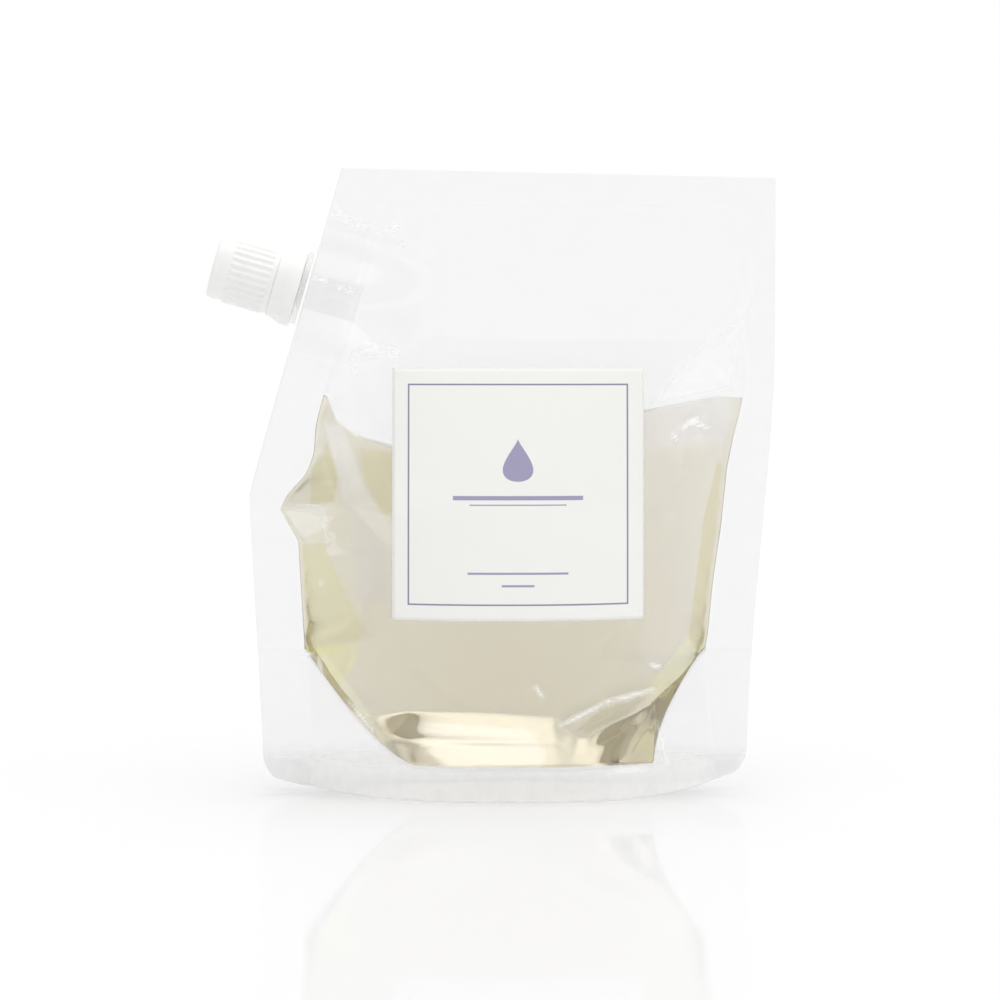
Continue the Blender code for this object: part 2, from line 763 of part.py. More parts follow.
def main():
    """Builds the pack."""
    clear_scene()
    parts = bpy.data.collections.new("hand_soap_refill_pack")
    cutters = bpy.data.collections.new("cutters")
    bpy.context.scene.collection.children.link(parts)
    bpy.context.scene.collection.children.link(cutters)

    film = make_material("clear_film", (0.93, 0.94, 0.93), 0.12, alpha=0.35)
    gusset_film = make_material("gusset_film", (0.95, 0.95, 0.92), 0.15, alpha=0.4)
    soap = make_material("pale_yellow_soap", (0.72, 0.68, 0.48), 0.05, alpha=0.6)
    paper = make_material("label_paper", (0.91, 0.91, 0.87), 0.6)
    moulded = make_material("white_moulded_plastic", (0.93, 0.93, 0.91), 0.3)
    cap_plastic = make_material("white_cap_plastic", (0.86, 0.86, 0.84), 0.35)
    foam = make_material("liner_foam", (0.9, 0.9, 0.88), 0.7)

    spout_axis = bpy.data.objects.new("spout_axis", None)
    spout_axis.location = (SPOUT_X, 0.0, SPOUT_HEIGHT)
    spout_axis.rotation_euler = (0.0, SPOUT_TILT - math.pi / 2, 0.0)
    parts.objects.link(spout_axis)

    make_panel("front_panel", -1, parts, film)
    make_panel("back_panel", 1, parts, film)
    make_gusset(parts, gusset_film)
    make_soap(parts, soap)
    make_label(parts, paper)
    make_spout(parts, cutters, spout_axis, moulded)
    make_band(parts, spout_axis, moulded)
    make_liner(parts, spout_axis, foam)
    make_cap(parts, cutters, spout_axis, cap_plastic)


main()
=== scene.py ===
"""Dresses the hand soap refill pack: clear film, liquid soap, paper label and moulded closure.

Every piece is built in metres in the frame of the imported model: +Z up, +X to the right of someone
facing the label, and -Y towards them. The pouch stands on Z = 0.
"""

import json
import logging
import math
from collections.abc import Callable, Sequence
from dataclasses import dataclass, field
from enum import Enum

import bpy
import numpy as np
from mathutils import Matrix, Vector

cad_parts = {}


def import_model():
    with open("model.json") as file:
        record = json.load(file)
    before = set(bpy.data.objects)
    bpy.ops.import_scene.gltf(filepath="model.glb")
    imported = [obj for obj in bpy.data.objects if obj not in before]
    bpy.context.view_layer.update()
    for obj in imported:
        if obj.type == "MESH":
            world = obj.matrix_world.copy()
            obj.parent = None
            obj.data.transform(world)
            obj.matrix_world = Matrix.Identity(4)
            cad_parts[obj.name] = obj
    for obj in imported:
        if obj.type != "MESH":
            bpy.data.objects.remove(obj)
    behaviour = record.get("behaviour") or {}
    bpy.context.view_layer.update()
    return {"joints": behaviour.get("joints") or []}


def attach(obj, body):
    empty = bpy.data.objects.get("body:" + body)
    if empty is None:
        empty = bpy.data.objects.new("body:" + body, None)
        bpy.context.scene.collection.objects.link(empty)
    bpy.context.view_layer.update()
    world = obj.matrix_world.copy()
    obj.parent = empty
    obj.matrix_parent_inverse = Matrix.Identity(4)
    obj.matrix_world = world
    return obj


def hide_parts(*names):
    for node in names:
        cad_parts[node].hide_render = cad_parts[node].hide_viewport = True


MM = 0.001
LABEL_SIDE = 65.0 * MM
THREAD_PITCH = 3.0 * MM
GUSSET_SHARE = 0.985
Array = np.ndarray
Placer = Callable[[Array, Array], Array]
log = logging.getLogger("refill_pack")


class Body(Enum):
    """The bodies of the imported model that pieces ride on."""

    PACK = "pack"
    LINER = "cap_liner"
    CAP = "cap"


class Slot(Enum):
    """The record's material slots."""

    FILM = "clear_film"
    SOAP = "liquid_soap"
    LABEL = "label_paper"
    SPOUT = "moulded_spout"
    CAP = "moulded_cap"
    LINER = "liner_foam"


class Side(Enum):
    """The side of the pouch that a film panel makes: its value is the sign of Y."""

    FRONT = -1.0
    BACK = 1.0


def hex_colour(code: str) -> tuple[float, float, float, float]:
    """Turns an sRGB hex colour to the linear values that a shader takes.

    Args:
        code: Six hex digits, with or without a leading hash.

    Returns:
        Red, green, blue and alpha, each from 0 to 1.
    """
    digits = code.lstrip("#")
    values = [int(digits[place : place + 2], 16) / 255 for place in (0, 2, 4)]
    linear = [v / 12.92 if v <= 0.04045 else ((v + 0.055) / 1.055) ** 2.4 for v in values]
    return (linear[0], linear[1], linear[2], 1.0)


WHITE = hex_colour("#FFFFFF")


def add_node(
    tree: bpy.types.NodeTree,
    kind: str,
    settings: dict[str, object] | None = None,
    values: dict[str | int, object] | None = None,
) -> bpy.types.Node:
    """Adds a node with its settings, values and links.

    Args:
        tree: The node tree.
        kind: The node's type name.
        settings: Properties of the node itself.
        values: For each input, a value, or the output socket that feeds it.

    Returns:
        The new node.
    """
    node = tree.nodes.new(kind)
    for name, value in (settings or {}).items():
        setattr(node, name, value)
    for name, value in (values or {}).items():
        if isinstance(value, bpy.types.NodeSocket):
            tree.links.new(value, node.inputs[name])
        else:
            node.inputs[name].default_value = value
    return node


def new_material(name: str) -> tuple[bpy.types.Material, bpy.types.NodeTree, bpy.types.Node]:
    """Makes an empty node material.

    Args:
        name: The material's name.

    Returns:
        The material, its node tree and its output node.
    """
    material = bpy.data.materials.new(name)
    material.use_nodes = True
    tree = material.node_tree
    tree.nodes.clear()
    return material, tree, tree.nodes.new("ShaderNodeOutputMaterial")


def soft_ray(tree: bpy.types.NodeTree) -> bpy.types.NodeSocket:
    """A socket that is 1 for shadow rays and for rays that a matt surface sends out.

    Args:
        tree: The node tree.

    Returns:
        The socket.
    """
    path = add_node(tree, "ShaderNodeLightPath")
    return add_node(
        tree,
        "ShaderNodeMath",
        {"operation": "MAXIMUM"},
        {0: path.outputs["Is Shadow Ray"], 1: path.outputs["Is Diffuse Ray"]},
    ).outputs[0]


def smoothstep(value: Array) -> Array:
    """Rises smoothly from 0 to 1 as the value does."""
    value = np.clip(value, 0.0, 1.0)
    return value * value * (3.0 - 2.0 * value)


def smooth_max(first: Array, second: Array, blend: float) -> Array:
    """The larger of two values, with a fillet where they cross."""
    return 0.5 * (first + second + np.sqrt((first - second) ** 2 + blend * blend))


def crowd_ends(share: Array) -> Array:
    """Moves shares from -1 to 1 closer together at both ends."""
    return share * (1.35 - 0.35 * share * share)


def read_points(mesh: bpy.types.Mesh) -> Array:
    """A mesh's points as rows of X, Y and Z.

    Args:
        mesh: The mesh.

    Returns:
        The rows.
    """
    flat = np.empty(len(mesh.vertices) * 3)
    mesh.vertices.foreach_get("co", flat)
    return flat.reshape(-1, 3)


def write_points(mesh: bpy.types.Mesh, points: Array) -> None:
    """Moves a mesh's points to rows of X, Y and Z."""
    mesh.vertices.foreach_set("co", points.reshape(-1))
    mesh.update()


def apply_modifier(obj: bpy.types.Object, kind: str, **settings: object) -> None:
    """Adds a modifier to the active object and applies it.

    Args:
        obj: The active object.
        kind: The modifier's type.
        settings: The modifier's properties.
    """
    bpy.ops.object.modifier_add(type=kind)
    modifier = obj.modifiers[-1]
    for name, value in settings.items():
        setattr(modifier, name, value)
    bpy.ops.object.modifier_apply(modifier=modifier.name)


def shaped_grid(name: str, columns: int, rows: int, place: Placer) -> bpy.types.Object:
    """Adds a grid and puts its points where a function says.

    Args:
        name: The object's name.
        columns: Faces along the first direction.
        rows: Faces along the second direction.
        place: Gives points for shares from 0 to 1 along the two directions.

    Returns:
        The new active object.
    """
    bpy.ops.object.select_all(action="DESELECT")
    bpy.ops.mesh.primitive_grid_add(x_subdivisions=columns, y_subdivisions=rows, size=1.0)
    sheet = bpy.context.object
    sheet.name = name
    sheet.data.name = name
    flat = read_points(sheet.data)
    write_points(sheet.data, place(flat[:, 0] + 0.5, flat[:, 1] + 0.5))
    bpy.ops.object.shade_smooth()
    return sheet


def merge_and_face_out(distance: float = 1e-6) -> None:
    """Merges the active mesh's doubled points and turns its faces outwards.

    Args:
        distance: Points closer than this become one.
    """
    bpy.ops.object.mode_set(mode="EDIT")
    bpy.ops.mesh.select_all(action="SELECT")
    bpy.ops.mesh.remove_doubles(threshold=distance)
    bpy.ops.mesh.normals_make_consistent(inside=False)
    bpy.ops.object.mode_set(mode="OBJECT")


def finish_piece(
    obj: bpy.types.Object, material: bpy.types.Material, body: Body, slot: Slot, *nodes: str
) -> bpy.types.Object:
    """Dresses a piece, sets it on its body and lets it stand for its CAD nodes.

    Args:
        obj: The piece.
        material: Its finish.
        body: The body that it rides on.
        slot: The record's slot of its finish; not used.
        nodes: The CAD nodes that it replaces.

    Returns:
        The piece.
    """
    obj.data.materials.clear()
    obj.data.materials.append(material)
    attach(obj, body.value)
    if nodes:
        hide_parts(*nodes)
    log.info("%s: %d points, %d faces", obj.name, len(obj.data.vertices), len(obj.data.polygons))
    return obj


# Width of the painted highlight lines along the folds' crests.
GLINT_SPREAD = 0.55 * MM
FOLD_END_LIFT = 0.35


@dataclass(frozen=True)
class Fold:
    """A fold pressed into a film between two points of the front view.

    Attributes:
        start: X and Z of one end, in millimetres.
        end: X and Z of the other end.
        height: How far the crest stands out, or in where it is below 0, in millimetres.
        width: The distance in which the fold dies away, in millimetres.
        crest: The radius of its crest, in millimetres.
        glint: Strength of a painted highlight along the crest, a line of white haze standing in for the
            film's glint, from 0 to 1.
    """

    start: tuple[float, float]
    end: tuple[float, float]
    height: float
    width: float
    crest: float = 0.35
    glint: float = 0.0

    def nearness(self, x: Array, z: Array) -> tuple[Array, Array]:
        """Where points of the front view lie beside the fold.

        Args:
            x: X of the points, in metres.
            z: Z of the points, in metres.

        Returns:
            The share of the way along it, and the distance from it.
        """
        ax, az = self.start[0] * MM, self.start[1] * MM
        bx, bz = self.end[0] * MM - ax, self.end[1] * MM - az
        length = bx * bx + bz * bz
        share = np.clip(((x - ax) * bx + (z - az) * bz) / length, 0.0, 1.0)
        return share, np.hypot(x - ax - share * bx, z - az - share * bz)

    def painted_glint(self, x: Array, z: Array) -> Array:
        """How much painted highlight the fold lays along its crest, as white haze, at points of the front
        view.
        """
        share, away = self.nearness(x, z)
        return self.glint * np.exp(-((away / GLINT_SPREAD) ** 2)) * (0.5 + 0.5 * np.sin(np.pi * share))

    def lift(self, x: Array, z: Array) -> Array:
        """How far the fold lifts the film at points of the front view, in metres.

        Args:
            x: X of the points, in metres.
            z: Z of the points, in metres.

        Returns:
            The lift, below 0 where the fold goes in.
        """
        share, beside = self.nearness(x, z)
        away = np.hypot(beside, self.crest * MM)
        arch = np.sin(np.pi * np.clip(share, 0.04, 0.96))
        taper = FOLD_END_LIFT + (1.0 - FOLD_END_LIFT) * arch
        return self.height * MM * taper * np.exp(-away / (self.width * MM))


# A fold's sixth value is its painted glint: a white line of haze painted along its crest.
FRONT_FOLDS = (
    Fold((-58.6, 75.3), (-45.5, 76.0), 1.1, 2.6, 0.35, 0.35),
    Fold((-59.2, 73.6), (-55.0, 66.5), 0.8, 1.6),
    Fold((-50.3, 98.0), (-49.1, 92.0), -0.7, 1.4),
    Fold((-49.1, 92.0), (-45.5, 80.5), -1.0, 1.8),
    Fold((-46.3, 98.0), (-43.2, 85.0), 0.8, 2.4),
    Fold((-43.2, 85.0), (-36.1, 72.0), 0.8, 3.0),
    Fold((-49.1, 72.5), (-47.1, 65.5), 0.9, 1.8, 0.35, 0.3),
    Fold((-47.1, 65.5), (-41.5, 62.7), 0.8, 1.8),
    Fold((-54.0, 37.5), (-35.0, 42.5), 0.6, 2.2),
    Fold((-35.0, 42.5), (-43.5, 26.5), 0.7, 2.2),
    Fold((-54.0, 37.5), (-46.5, 32.0), 0.4, 1.6),
    Fold((12.7, 20.0), (25.0, 26.0), 0.9, 1.6, 0.35, 0.7),
    Fold((25.0, 26.0), (37.0, 28.4), 0.9, 1.6, 0.35, 0.7),
    Fold((16.9, 18.5), (32.0, 25.2), -1.0, 1.8),
    Fold((19.0, 12.5), (33.8, 20.5), 1.1, 1.8),
    Fold((33.8, 20.5), (43.0, 28.5), 1.2, 1.8),
    Fold((35.5, 21.5), (36.5, 11.5), 0.9, 1.6),
    Fold((6.0, 30.4), (8.3, 27.3), 0.35, 0.8, 0.7, 0.6),
    Fold((36.0, 34.8), (38.6, 34.2), 0.5, 1.1, 0.7, 0.75),
    Fold((44.0, 95.5), (48.5, 98.6), 0.7, 1.0, 0.7, 0.8),
    Fold((46.3, 97.8), (51.0, 95.6), 0.6, 1.0, 0.7, 0.8),
    Fold((41.8, 94.4), (42.8, 92.6), 0.5, 0.9, 0.7, 0.6),
    Fold((48.4, 104.2), (53.0, 103.4), -0.5, 1.0),
    Fold((61.0, 127.0), (40.0, 105.4), 1.1, 5.0, 1.5),
    Fold((-54.0, 36.8), (-51.5, 36.2), 0.3, 0.8, 0.7, 0.8),
    Fold((-50.0, 35.8), (-49.2, 31.5), 0.3, 0.8, 0.7, 0.8),
    Fold((-42.0, 25.0), (-36.0, 18.0), 0.3, 0.9, 0.7, 0.6),
    Fold((-49.6, 55.4), (-49.0, 55.2), 0.1, 0.6, 0.7, 0.75),
    Fold((25.0, 7.6), (35.5, 8.2), 0.1, 0.7, 0.35, 0.6),
    Fold((37.6, 20.0), (40.6, 9.0), 0.1, 0.7, 0.35, 0.4),
    Fold((-45.8, 151.6), (-43.4, 151.6), 0.15, 1.0, 0.7, 0.75),
    Fold((-43.4, 149.2), (-41.3, 149.1), 0.15, 1.0, 0.7, 0.75),
    Fold((-40.0, 148.5), (-37.2, 147.9), 0.2, 1.0, 0.7, 0.8),
    Fold((-35.1, 145.9), (-33.3, 145.9), 0.15, 1.0, 0.7, 0.6),
    Fold((-32.0, 146.6), (-29.0, 148.3), 0.2, 1.0, 0.7, 0.8),
    Fold((-28.4, 143.5), (-27.6, 143.1), 0.15, 1.0, 0.7, 0.75),
    Fold((-51.7, 134.8), (-50.2, 134.8), 0.15, 1.0, 0.7, 0.75),
    Fold((-49.7, 134.3), (-47.3, 134.0), 0.2, 1.1, 0.7, 0.6),
    Fold((-44.7, 132.4), (-43.7, 132.2), 0.15, 1.0, 0.7, 0.75),
    Fold((-42.2, 131.8), (-41.0, 130.8), 0.25, 1.1, 0.7, 0.75),
    Fold((-40.3, 130.9), (-33.8, 130.9), -0.4, 1.4),
    Fold((-41.0, 115.0), (-40.7, 110.0), 0.7, 1.0, 0.7, 0.75),
    Fold((-39.5, 116.5), (-35.8, 117.6), 0.6, 0.9, 0.7, 0.6),
    Fold((-38.0, 114.4), (-33.3, 115.9), 0.6, 0.9, 0.7, 0.6),
    Fold((-31.8, 117.5), (-28.9, 114.2), 0.6, 0.9, 0.7, 0.75),
    Fold((-40.4, 110.4), (-35.6, 102.0), -0.9, 1.5),
)


@dataclass(frozen=True)
class Facet:
    """A patch of the front view between folds, where the liquid's tint is painted lighter or darker: painted
    light and shade.

    Attributes:
        corners: X and Z of a convex outline in the front view, in millimetres.
        tone: What is left of red, green and blue, against the liquid round it: above 1 is painted light,
            below 1 painted shade.
        softness: How far the painted shading takes to fade at the outline, in millimetres.
    """

    corners: tuple[tuple[float, float], ...]
    tone: tuple[float, float, float]
    softness: float = 0.9

    def mask(self, x: Array, z: Array) -> Array:
        """How much of the painted shading points of the front view have, from 0 to 1.

        Args:
            x: X of the points, in metres.
            z: Z of the points, in metres.

        Returns:
            The share of the painted shading.
        """
        ring = list(zip(self.corners, self.corners[1:] + self.corners[:1]))
        area = sum(ax * bz - bx * az for (ax, az), (bx, bz) in ring)
        inside = np.full_like(x, np.inf)
        for (ax, az), (bx, bz) in ring:
            length = math.hypot(bx - ax, bz - az)
            cross = (bx - ax) * (z / MM - az) - (bz - az) * (x / MM - ax)
            inside = np.minimum(inside, math.copysign(1.0, area) * cross / length)
        return smoothstep(inside / self.softness + 0.5)


# Painted light and shade on the liquid's front: lighter and darker patches standing in for the light that
# the folds bend, reflect and shade through the liquid.
SOAP_PAINTED_SHADING = (
    Facet(
        ((-59.6, 74.8), (-51.6, 86.5), (-51.0, 97.5), (-49.6, 97.5), (-44.8, 83.0), (-46.0, 76.5)),
        (0.92, 0.9, 0.74),
    ),
    Facet(
        ((-51.0, 89.0), (-50.8, 103.5), (-46.5, 105.5), (-46.3, 102.8), (-49.1, 95.5)),
        (0.95, 0.94, 0.78),
    ),
    Facet(((-58.5, 74.2), (-48.4, 75.2), (-47.1, 70.8), (-54.1, 66.9)), (1.12, 1.14, 1.25)),
    Facet(((-55.0, 64.2), (-49.1, 66.3), (-37.5, 42.8), (-47.1, 37.0), (-54.5, 37.0)), (0.98, 0.98, 0.81)),
    Facet(((-55.0, 39.0), (-50.0, 39.0), (-36.5, 22.0), (-40.0, 18.5)), (1.1, 1.12, 1.05)),
    Facet(((-48.4, 62.7), (-46.3, 66.9), (-42.4, 63.3)), (1.08, 1.08, 1.14), 0.6),
    Facet(
        ((-53.0, 37.8), (-35.1, 41.4), (-41.3, 33.6), (-43.2, 27.4), (-45.8, 27.9)),
        (1.05, 1.05, 0.84),
        0.6,
    ),
    Facet(
        ((-39.5, 90.5), (-30.4, 90.0), (-30.4, 73.4), (-33.5, 74.0), (-38.0, 82.0)),
        (0.94, 0.92, 0.77),
        1.6,
    ),
    Facet(((-48.4, 96.8), (-43.9, 96.8), (-38.7, 82.5), (-43.2, 77.3)), (1.08, 1.1, 1.2), 1.4),
    Facet(((-43.2, 77.3), (-38.7, 82.5), (-30.0, 69.5), (-30.0, 64.8)), (1.06, 1.07, 1.14), 1.8),
    Facet(((-41.9, 76.3), (-30.9, 63.8), (-30.9, 51.3), (-39.3, 51.3)), (0.97, 0.98, 1.05), 2.5),
    Facet(
        ((53.6, 86.8), (56.2, 85.5), (55.5, 68.9), (52.3, 55.4), (48.9, 62.4), (49.9, 71.8)),
        (0.93, 0.91, 0.74),
        0.7,
    ),
    Facet(((48.9, 62.4), (52.9, 56.0), (52.0, 42.4), (50.6, 36.4), (46.0, 40.6)), (0.93, 0.91, 0.74), 0.7),
    Facet(((46.0, 41.0), (51.5, 38.0), (42.4, 24.7), (34.0, 27.0)), (1.1, 1.1, 0.95), 1.0),
    Facet(((34.0, 103.0), (61.0, 106.0), (61.0, 92.0), (34.0, 90.0)), (1.03, 1.04, 1.12), 3.0),
    Facet(((16.6, 18.5), (23.1, 23.7), (35.6, 27.0), (30.9, 22.6), (20.5, 18.5)), (0.84, 0.84, 0.76), 0.8),
    Facet(((32.0, 14.1), (37.4, 21.9), (40.8, 22.7), (37.9, 10.0), (32.5, 10.2)), (1.05, 1.05, 1.0), 0.8),
    Facet(((20.5, 16.7), (37.4, 25.8), (39.3, 24.2), (23.1, 14.1)), (1.1, 1.1, 1.15), 0.8),
    Facet(
        ((-33.0, 14.6), (-28.9, 16.1), (-21.1, 14.1), (-18.5, 10.7), (-13.8, 7.5), (-26.5, 7.0)),
        (0.74, 0.74, 0.74),
        0.6,
    ),
    Facet(((-30.9, 16.0), (-21.0, 14.4), (-21.0, 13.5), (-30.9, 15.0)), (0.75, 0.75, 0.7), 0.4),
    Facet(
        ((-33.0, 19.5), (-26.0, 21.0), (11.5, 18.5), (9.0, 12.5), (12.5, 7.0), (-14.0, 7.0), (-20.0, 12.0)),
        (1.1, 1.13, 1.26),
        1.0,
    ),
    Facet(((34.0, 110.0), (61.0, 110.0), (57.0, 30.0), (34.0, 34.0)), (1.03, 1.03, 1.07), 3.0),
)
BACK_FOLDS = (
    Fold((-57.0, 70.0), (-44.0, 74.0), 0.8, 2.6),
    Fold((-52.0, 41.0), (-34.0, 47.0), 0.5, 2.6),
    Fold((-34.0, 47.0), (-41.0, 28.0), 0.5, 2.4),
    Fold((14.0, 17.0), (38.0, 27.0), 1.2, 2.2),
    Fold((33.0, 14.0), (45.0, 30.0), 0.7, 2.2),
    Fold((-45.0, 126.0), (-32.0, 114.0), 0.8, 1.8),
    Fold((-44.0, 139.0), (-30.0, 134.0), 0.6, 1.2),
    Fold((59.0, 122.0), (38.0, 108.0), 1.0, 4.5, 1.5),
    Fold((47.0, 96.0), (55.0, 88.0), 0.7, 1.6),
)
# A painted highlight: a patch of white haze on the front film's upper right, standing in for glare off its
# folds. Only its outline is used.
FRONT_GLARE = Facet(
    ((60.0, 124.0), (56.4, 106.6), (49.1, 105.3), (38.7, 102.7), (46.5, 113.1)),
    (1.0, 1.0, 1.0),
    6.0,
)


@dataclass
class PouchForm:
    """The pouch's outline and fullness, which its film, liquid and label share.

    Lengths are in metres. Left and right are as seen from the front.
    """

    spout_origin: Vector
    spout_out: Vector
    spout_along: Vector
    width: float = 136.8 * MM
    height: float = 163.3 * MM
    top_fall: float = 2.6 * MM
    cut_width: float = 24.7 * MM
    cut_height: float = 85.3 * MM
    corner_radius: float = 8.0 * MM
    corner_inset: float = 5.6 * MM
    left_lift: float = 3.0 * MM
    right_lift: float = 4.4 * MM
    left_pull: float = 3.7 * MM
    right_pull: float = 7.0 * MM
    left_seal: float = 12.0 * MM
    right_seal: float = 7.5 * MM
    right_places: tuple[float, ...] = (8.0, 22.0, 36.0, 42.0, 56.0, 69.0, 85.0, 93.0, 100.0, 105.0)
    right_widths: tuple[float, ...] = (0.5, 2.8, 4.6, 4.0, 3.8, 3.1, 2.9, 2.0, 0.7, 0.0)
    base_seal: float = 9.0 * MM
    gusset_height: float = 38.0 * MM
    left_seal_start: float = 25.0 * MM
    right_seal_start: float = 37.0 * MM
    left_seal_power: float = 1.45
    right_seal_power: float = 0.66
    ridge_reach: float = 0.74
    ridge_places: tuple[float, ...] = (
        *(-54.0, -46.0, -39.0, -34.0, -25.0, -6.0),
        *(11.0, 15.0, 19.0, 34.0, 43.0, 54.0),
    )
    ridge_heights: tuple[float, ...] = (
        *(42.0, 31.0, 22.5, 19.0, 20.6, 19.6),
        *(18.4, 14.5, 14.0, 22.0, 30.0, 42.0),
    )
    ridge_left: float = -40.0 * MM
    ridge_left_fade: float = 7.0 * MM
    ridge_right: float = 11.5 * MM
    ridge_right_fade: float = 6.0 * MM
    kink_x: float = -8.0 * MM
    kink_reach: float = 16.0 * MM
    kink_depth: float = 0.02
    floor_half: float = 14.0 * MM
    chamber_half: float = 53.3 * MM
    belly_depth: float = 19.2 * MM
    belly_top: float = 119.0 * MM
    belly_power: float = 2.3
    pinch: float = 1.0 * MM
    shoulder_rise: float = 9.0 * MM
    shoulder_x: float = -44.0 * MM
    shoulder_reach: float = 20.0 * MM
    pocket_height: float = 74.3 * MM
    pocket_reach: float = 4.4 * MM
    pocket_half: float = 8.5 * MM
    notch_height: float = 88.0 * MM
    notch_half: float = 6.0 * MM
    notch_depth: float = 1.6 * MM
    wave_height: float = 0.16 * MM
    wave_start: float = 10.0 * MM
    pucker_height: float = 0.22 * MM
    pucker_reach: float = 3.2 * MM
    pucker_start: float = 1.2 * MM
    front_grip: float = 0.6 * MM
    back_grip: float = 2.0 * MM
    fillet: float = 0.3 * MM
    boat_length: float = 32.0 * MM
    boat_half_thickness: float = 6.2 * MM
    boat_tip: float = 0.4 * MM
    boat_depth: float = 14.5 * MM
    boat_clearance: float = 0.55 * MM
    tip_fade: float = 5.0 * MM
    channel_fade: float = 22.0 * MM
    film_gap: float = 0.12 * MM
    label_low: float = 46.9 * MM
    label_high: float = 111.3 * MM
    label_x: float = 1.8 * MM
    label_half: float = LABEL_SIDE / 2
    label_fade: float = 4.0 * MM
    folds: dict[Side, Sequence[Fold]] = field(
        default_factory=lambda: {Side.FRONT: FRONT_FOLDS, Side.BACK: BACK_FOLDS}
    )

    def fullness(self, z: Array) -> Array:
        """The belly's fullness at a height, 1 at the base and 0 at its top."""
        return np.clip(1.0 - (z / self.belly_top) ** 2, 0.0, 1.0)

    def side_edges(self, z: Array) -> tuple[Array, Array]:
        """X of the pouch's left and right edges at a height, before the corners are rounded.

        Args:
            z: The heights, in metres.

        Returns:
            X of the left edge, and X of the right one.
        """
        full = self.fullness(z)
        slope = self.cut_width / self.cut_height
        cut = np.clip(z - (self.height - self.cut_height), 0.0, None) * slope
        return -self.width / 2 + self.left_pull * full**4 + cut, self.width / 2 - self.right_pull * full**2

    def corner(self, z: Array, lift: float) -> Array:
        """How far a rounded lower corner stands in from the side edge."""
        below = np.clip((lift + self.corner_radius - z) / self.corner_radius, 0.0, 1.0)
        return self.corner_inset * (1.0 - np.sqrt(1.0 - below * below))

    def chamber(self, z: Array) -> tuple[Array, Array]:
        """X of the inner edges of the two side seals at a height.

        Args:
            z: The heights, in metres.

        Returns:
            X of the left seal's inner edge, and X of the right one's.
        """
        left, right = self.side_edges(z)
        pocket = np.clip(1.0 - np.abs(z - self.pocket_height) / self.pocket_half, 0.0, 1.0)
        notch = np.exp(-(((z - self.notch_height) / self.notch_half) ** 2))
        widened = np.interp(z / MM, self.right_places, self.right_widths) * MM
        inner_left = left + self.left_seal - self.pocket_reach * pocket + self.notch_depth * notch
        return inner_left, right - self.right_seal - widened

    def place_x(self, spot: Array, z: Array) -> Array:
        """X of a place across the pouch, -1 to 1 in the chamber and on to -2 and 2 in the seals.

        Args:
            spot: The place across the pouch, -2 to 2.
            z: Its height, in metres.

        Returns:
            X, in metres.
        """
        left, right = self.side_edges(z)
        inner_left, inner_right = self.chamber(z)
        edge_left = left + self.corner(z, self.left_lift)
        edge_right = right - self.corner(z, self.right_lift)
        inside = (inner_left + inner_right) / 2 + spot * (inner_right - inner_left) / 2
        low = inner_left + (edge_left - inner_left) * (-1.0 - spot)
        high = inner_right + (edge_right - inner_right) * (spot - 1.0)
        return np.where(spot < -1.0, low, np.where(spot > 1.0, high, inside))

    def base_lift(self, spot: Array) -> Array:
        """How far the base edge stands off the surface at a place across the pouch.

        Args:
            spot: The place across the pouch, -2 to 2.

        Returns:
            The height of the edge, in metres.
        """
        lift = np.where(spot < 0.0, self.left_lift, self.right_lift)
        edge = np.where(spot < 0.0, -2.0, 2.0)
        share = self.place_x(spot, lift) / self.place_x(edge, lift)
        return lift * np.clip(share, 0.0, None) ** 5

    def boat_half(self, along: Array) -> Array:
        """Half the thickness of the spout's boat at a distance along it from its middle.

        Args:
            along: The distance, in metres.

        Returns:
            Half the thickness, in metres.
        """
        share = np.clip(np.abs(along) / (self.boat_length / 2), 0.0, 1.0)
        swell = self.boat_half_thickness - self.boat_tip
        return self.boat_tip + swell * np.cos(share * np.pi / 2) ** 2

    def over_boat(self, x: Array, z: Array) -> Array:
        """Half the thickness that the spout and its way into the pouch give the film.

        Args:
            x: X of the points, in metres.
            z: Z of the points, in metres.

        Returns:
            Half the thickness, 0 away from the spout.
        """
        dx, dz = x - self.spout_origin.x, z - self.spout_origin.z
        out = dx * self.spout_out.x + dz * self.spout_out.z
        along = dx * self.spout_along.x + dz * self.spout_along.z
        past_tip = np.clip(np.abs(along) - self.boat_length / 2, 0.0, None)
        height = (self.boat_half(along) + self.boat_clearance) * (1.0 - smoothstep(past_tip / self.tip_fade))
        return height * (1.0 - smoothstep((-out - self.boat_depth) / self.channel_fade))

    def belly(self, x: Array, z: Array) -> Array:
        """Half the belly's thickness at a point of the front view, without folds.

        Args:
            x: X of the points, in metres.
            z: Z of the points, in metres.

        Returns:
            Half the thickness, 0 in the seals.
        """
        left, right = self.chamber(z)
        share = np.abs(x - (left + right) / 2) / ((right - left) / 2)
        shoulder = self.shoulder_rise * np.exp(-(((x - self.shoulder_x) / self.shoulder_reach) ** 2))
        depth = self.belly_depth * np.clip(1.0 - (z / (self.belly_top + shoulder)) ** 2, 0.0, None)
        from_seal = np.clip(np.minimum(x - left, right - x), 0.0, None)
        pinch = 1.0 - np.exp(-from_seal / self.pinch)
        return depth * np.clip(1.0 - share**self.belly_power, 0.0, None) * pinch

    def off_label(self, x: Array, z: Array) -> Array:
        """0 under the label, where the film lies smooth, and 1 away from it.

        Args:
            x: X of the points, in metres.
            z: Z of the points, in metres.

        Returns:
            The share, from 0 to 1.
        """
        dx = np.abs(x - self.label_x) - self.label_half
        dz = np.abs(z - (self.label_low + self.label_high) / 2) - (self.label_high - self.label_low) / 2
        return smoothstep(np.maximum(dx, dz) / self.label_fade)

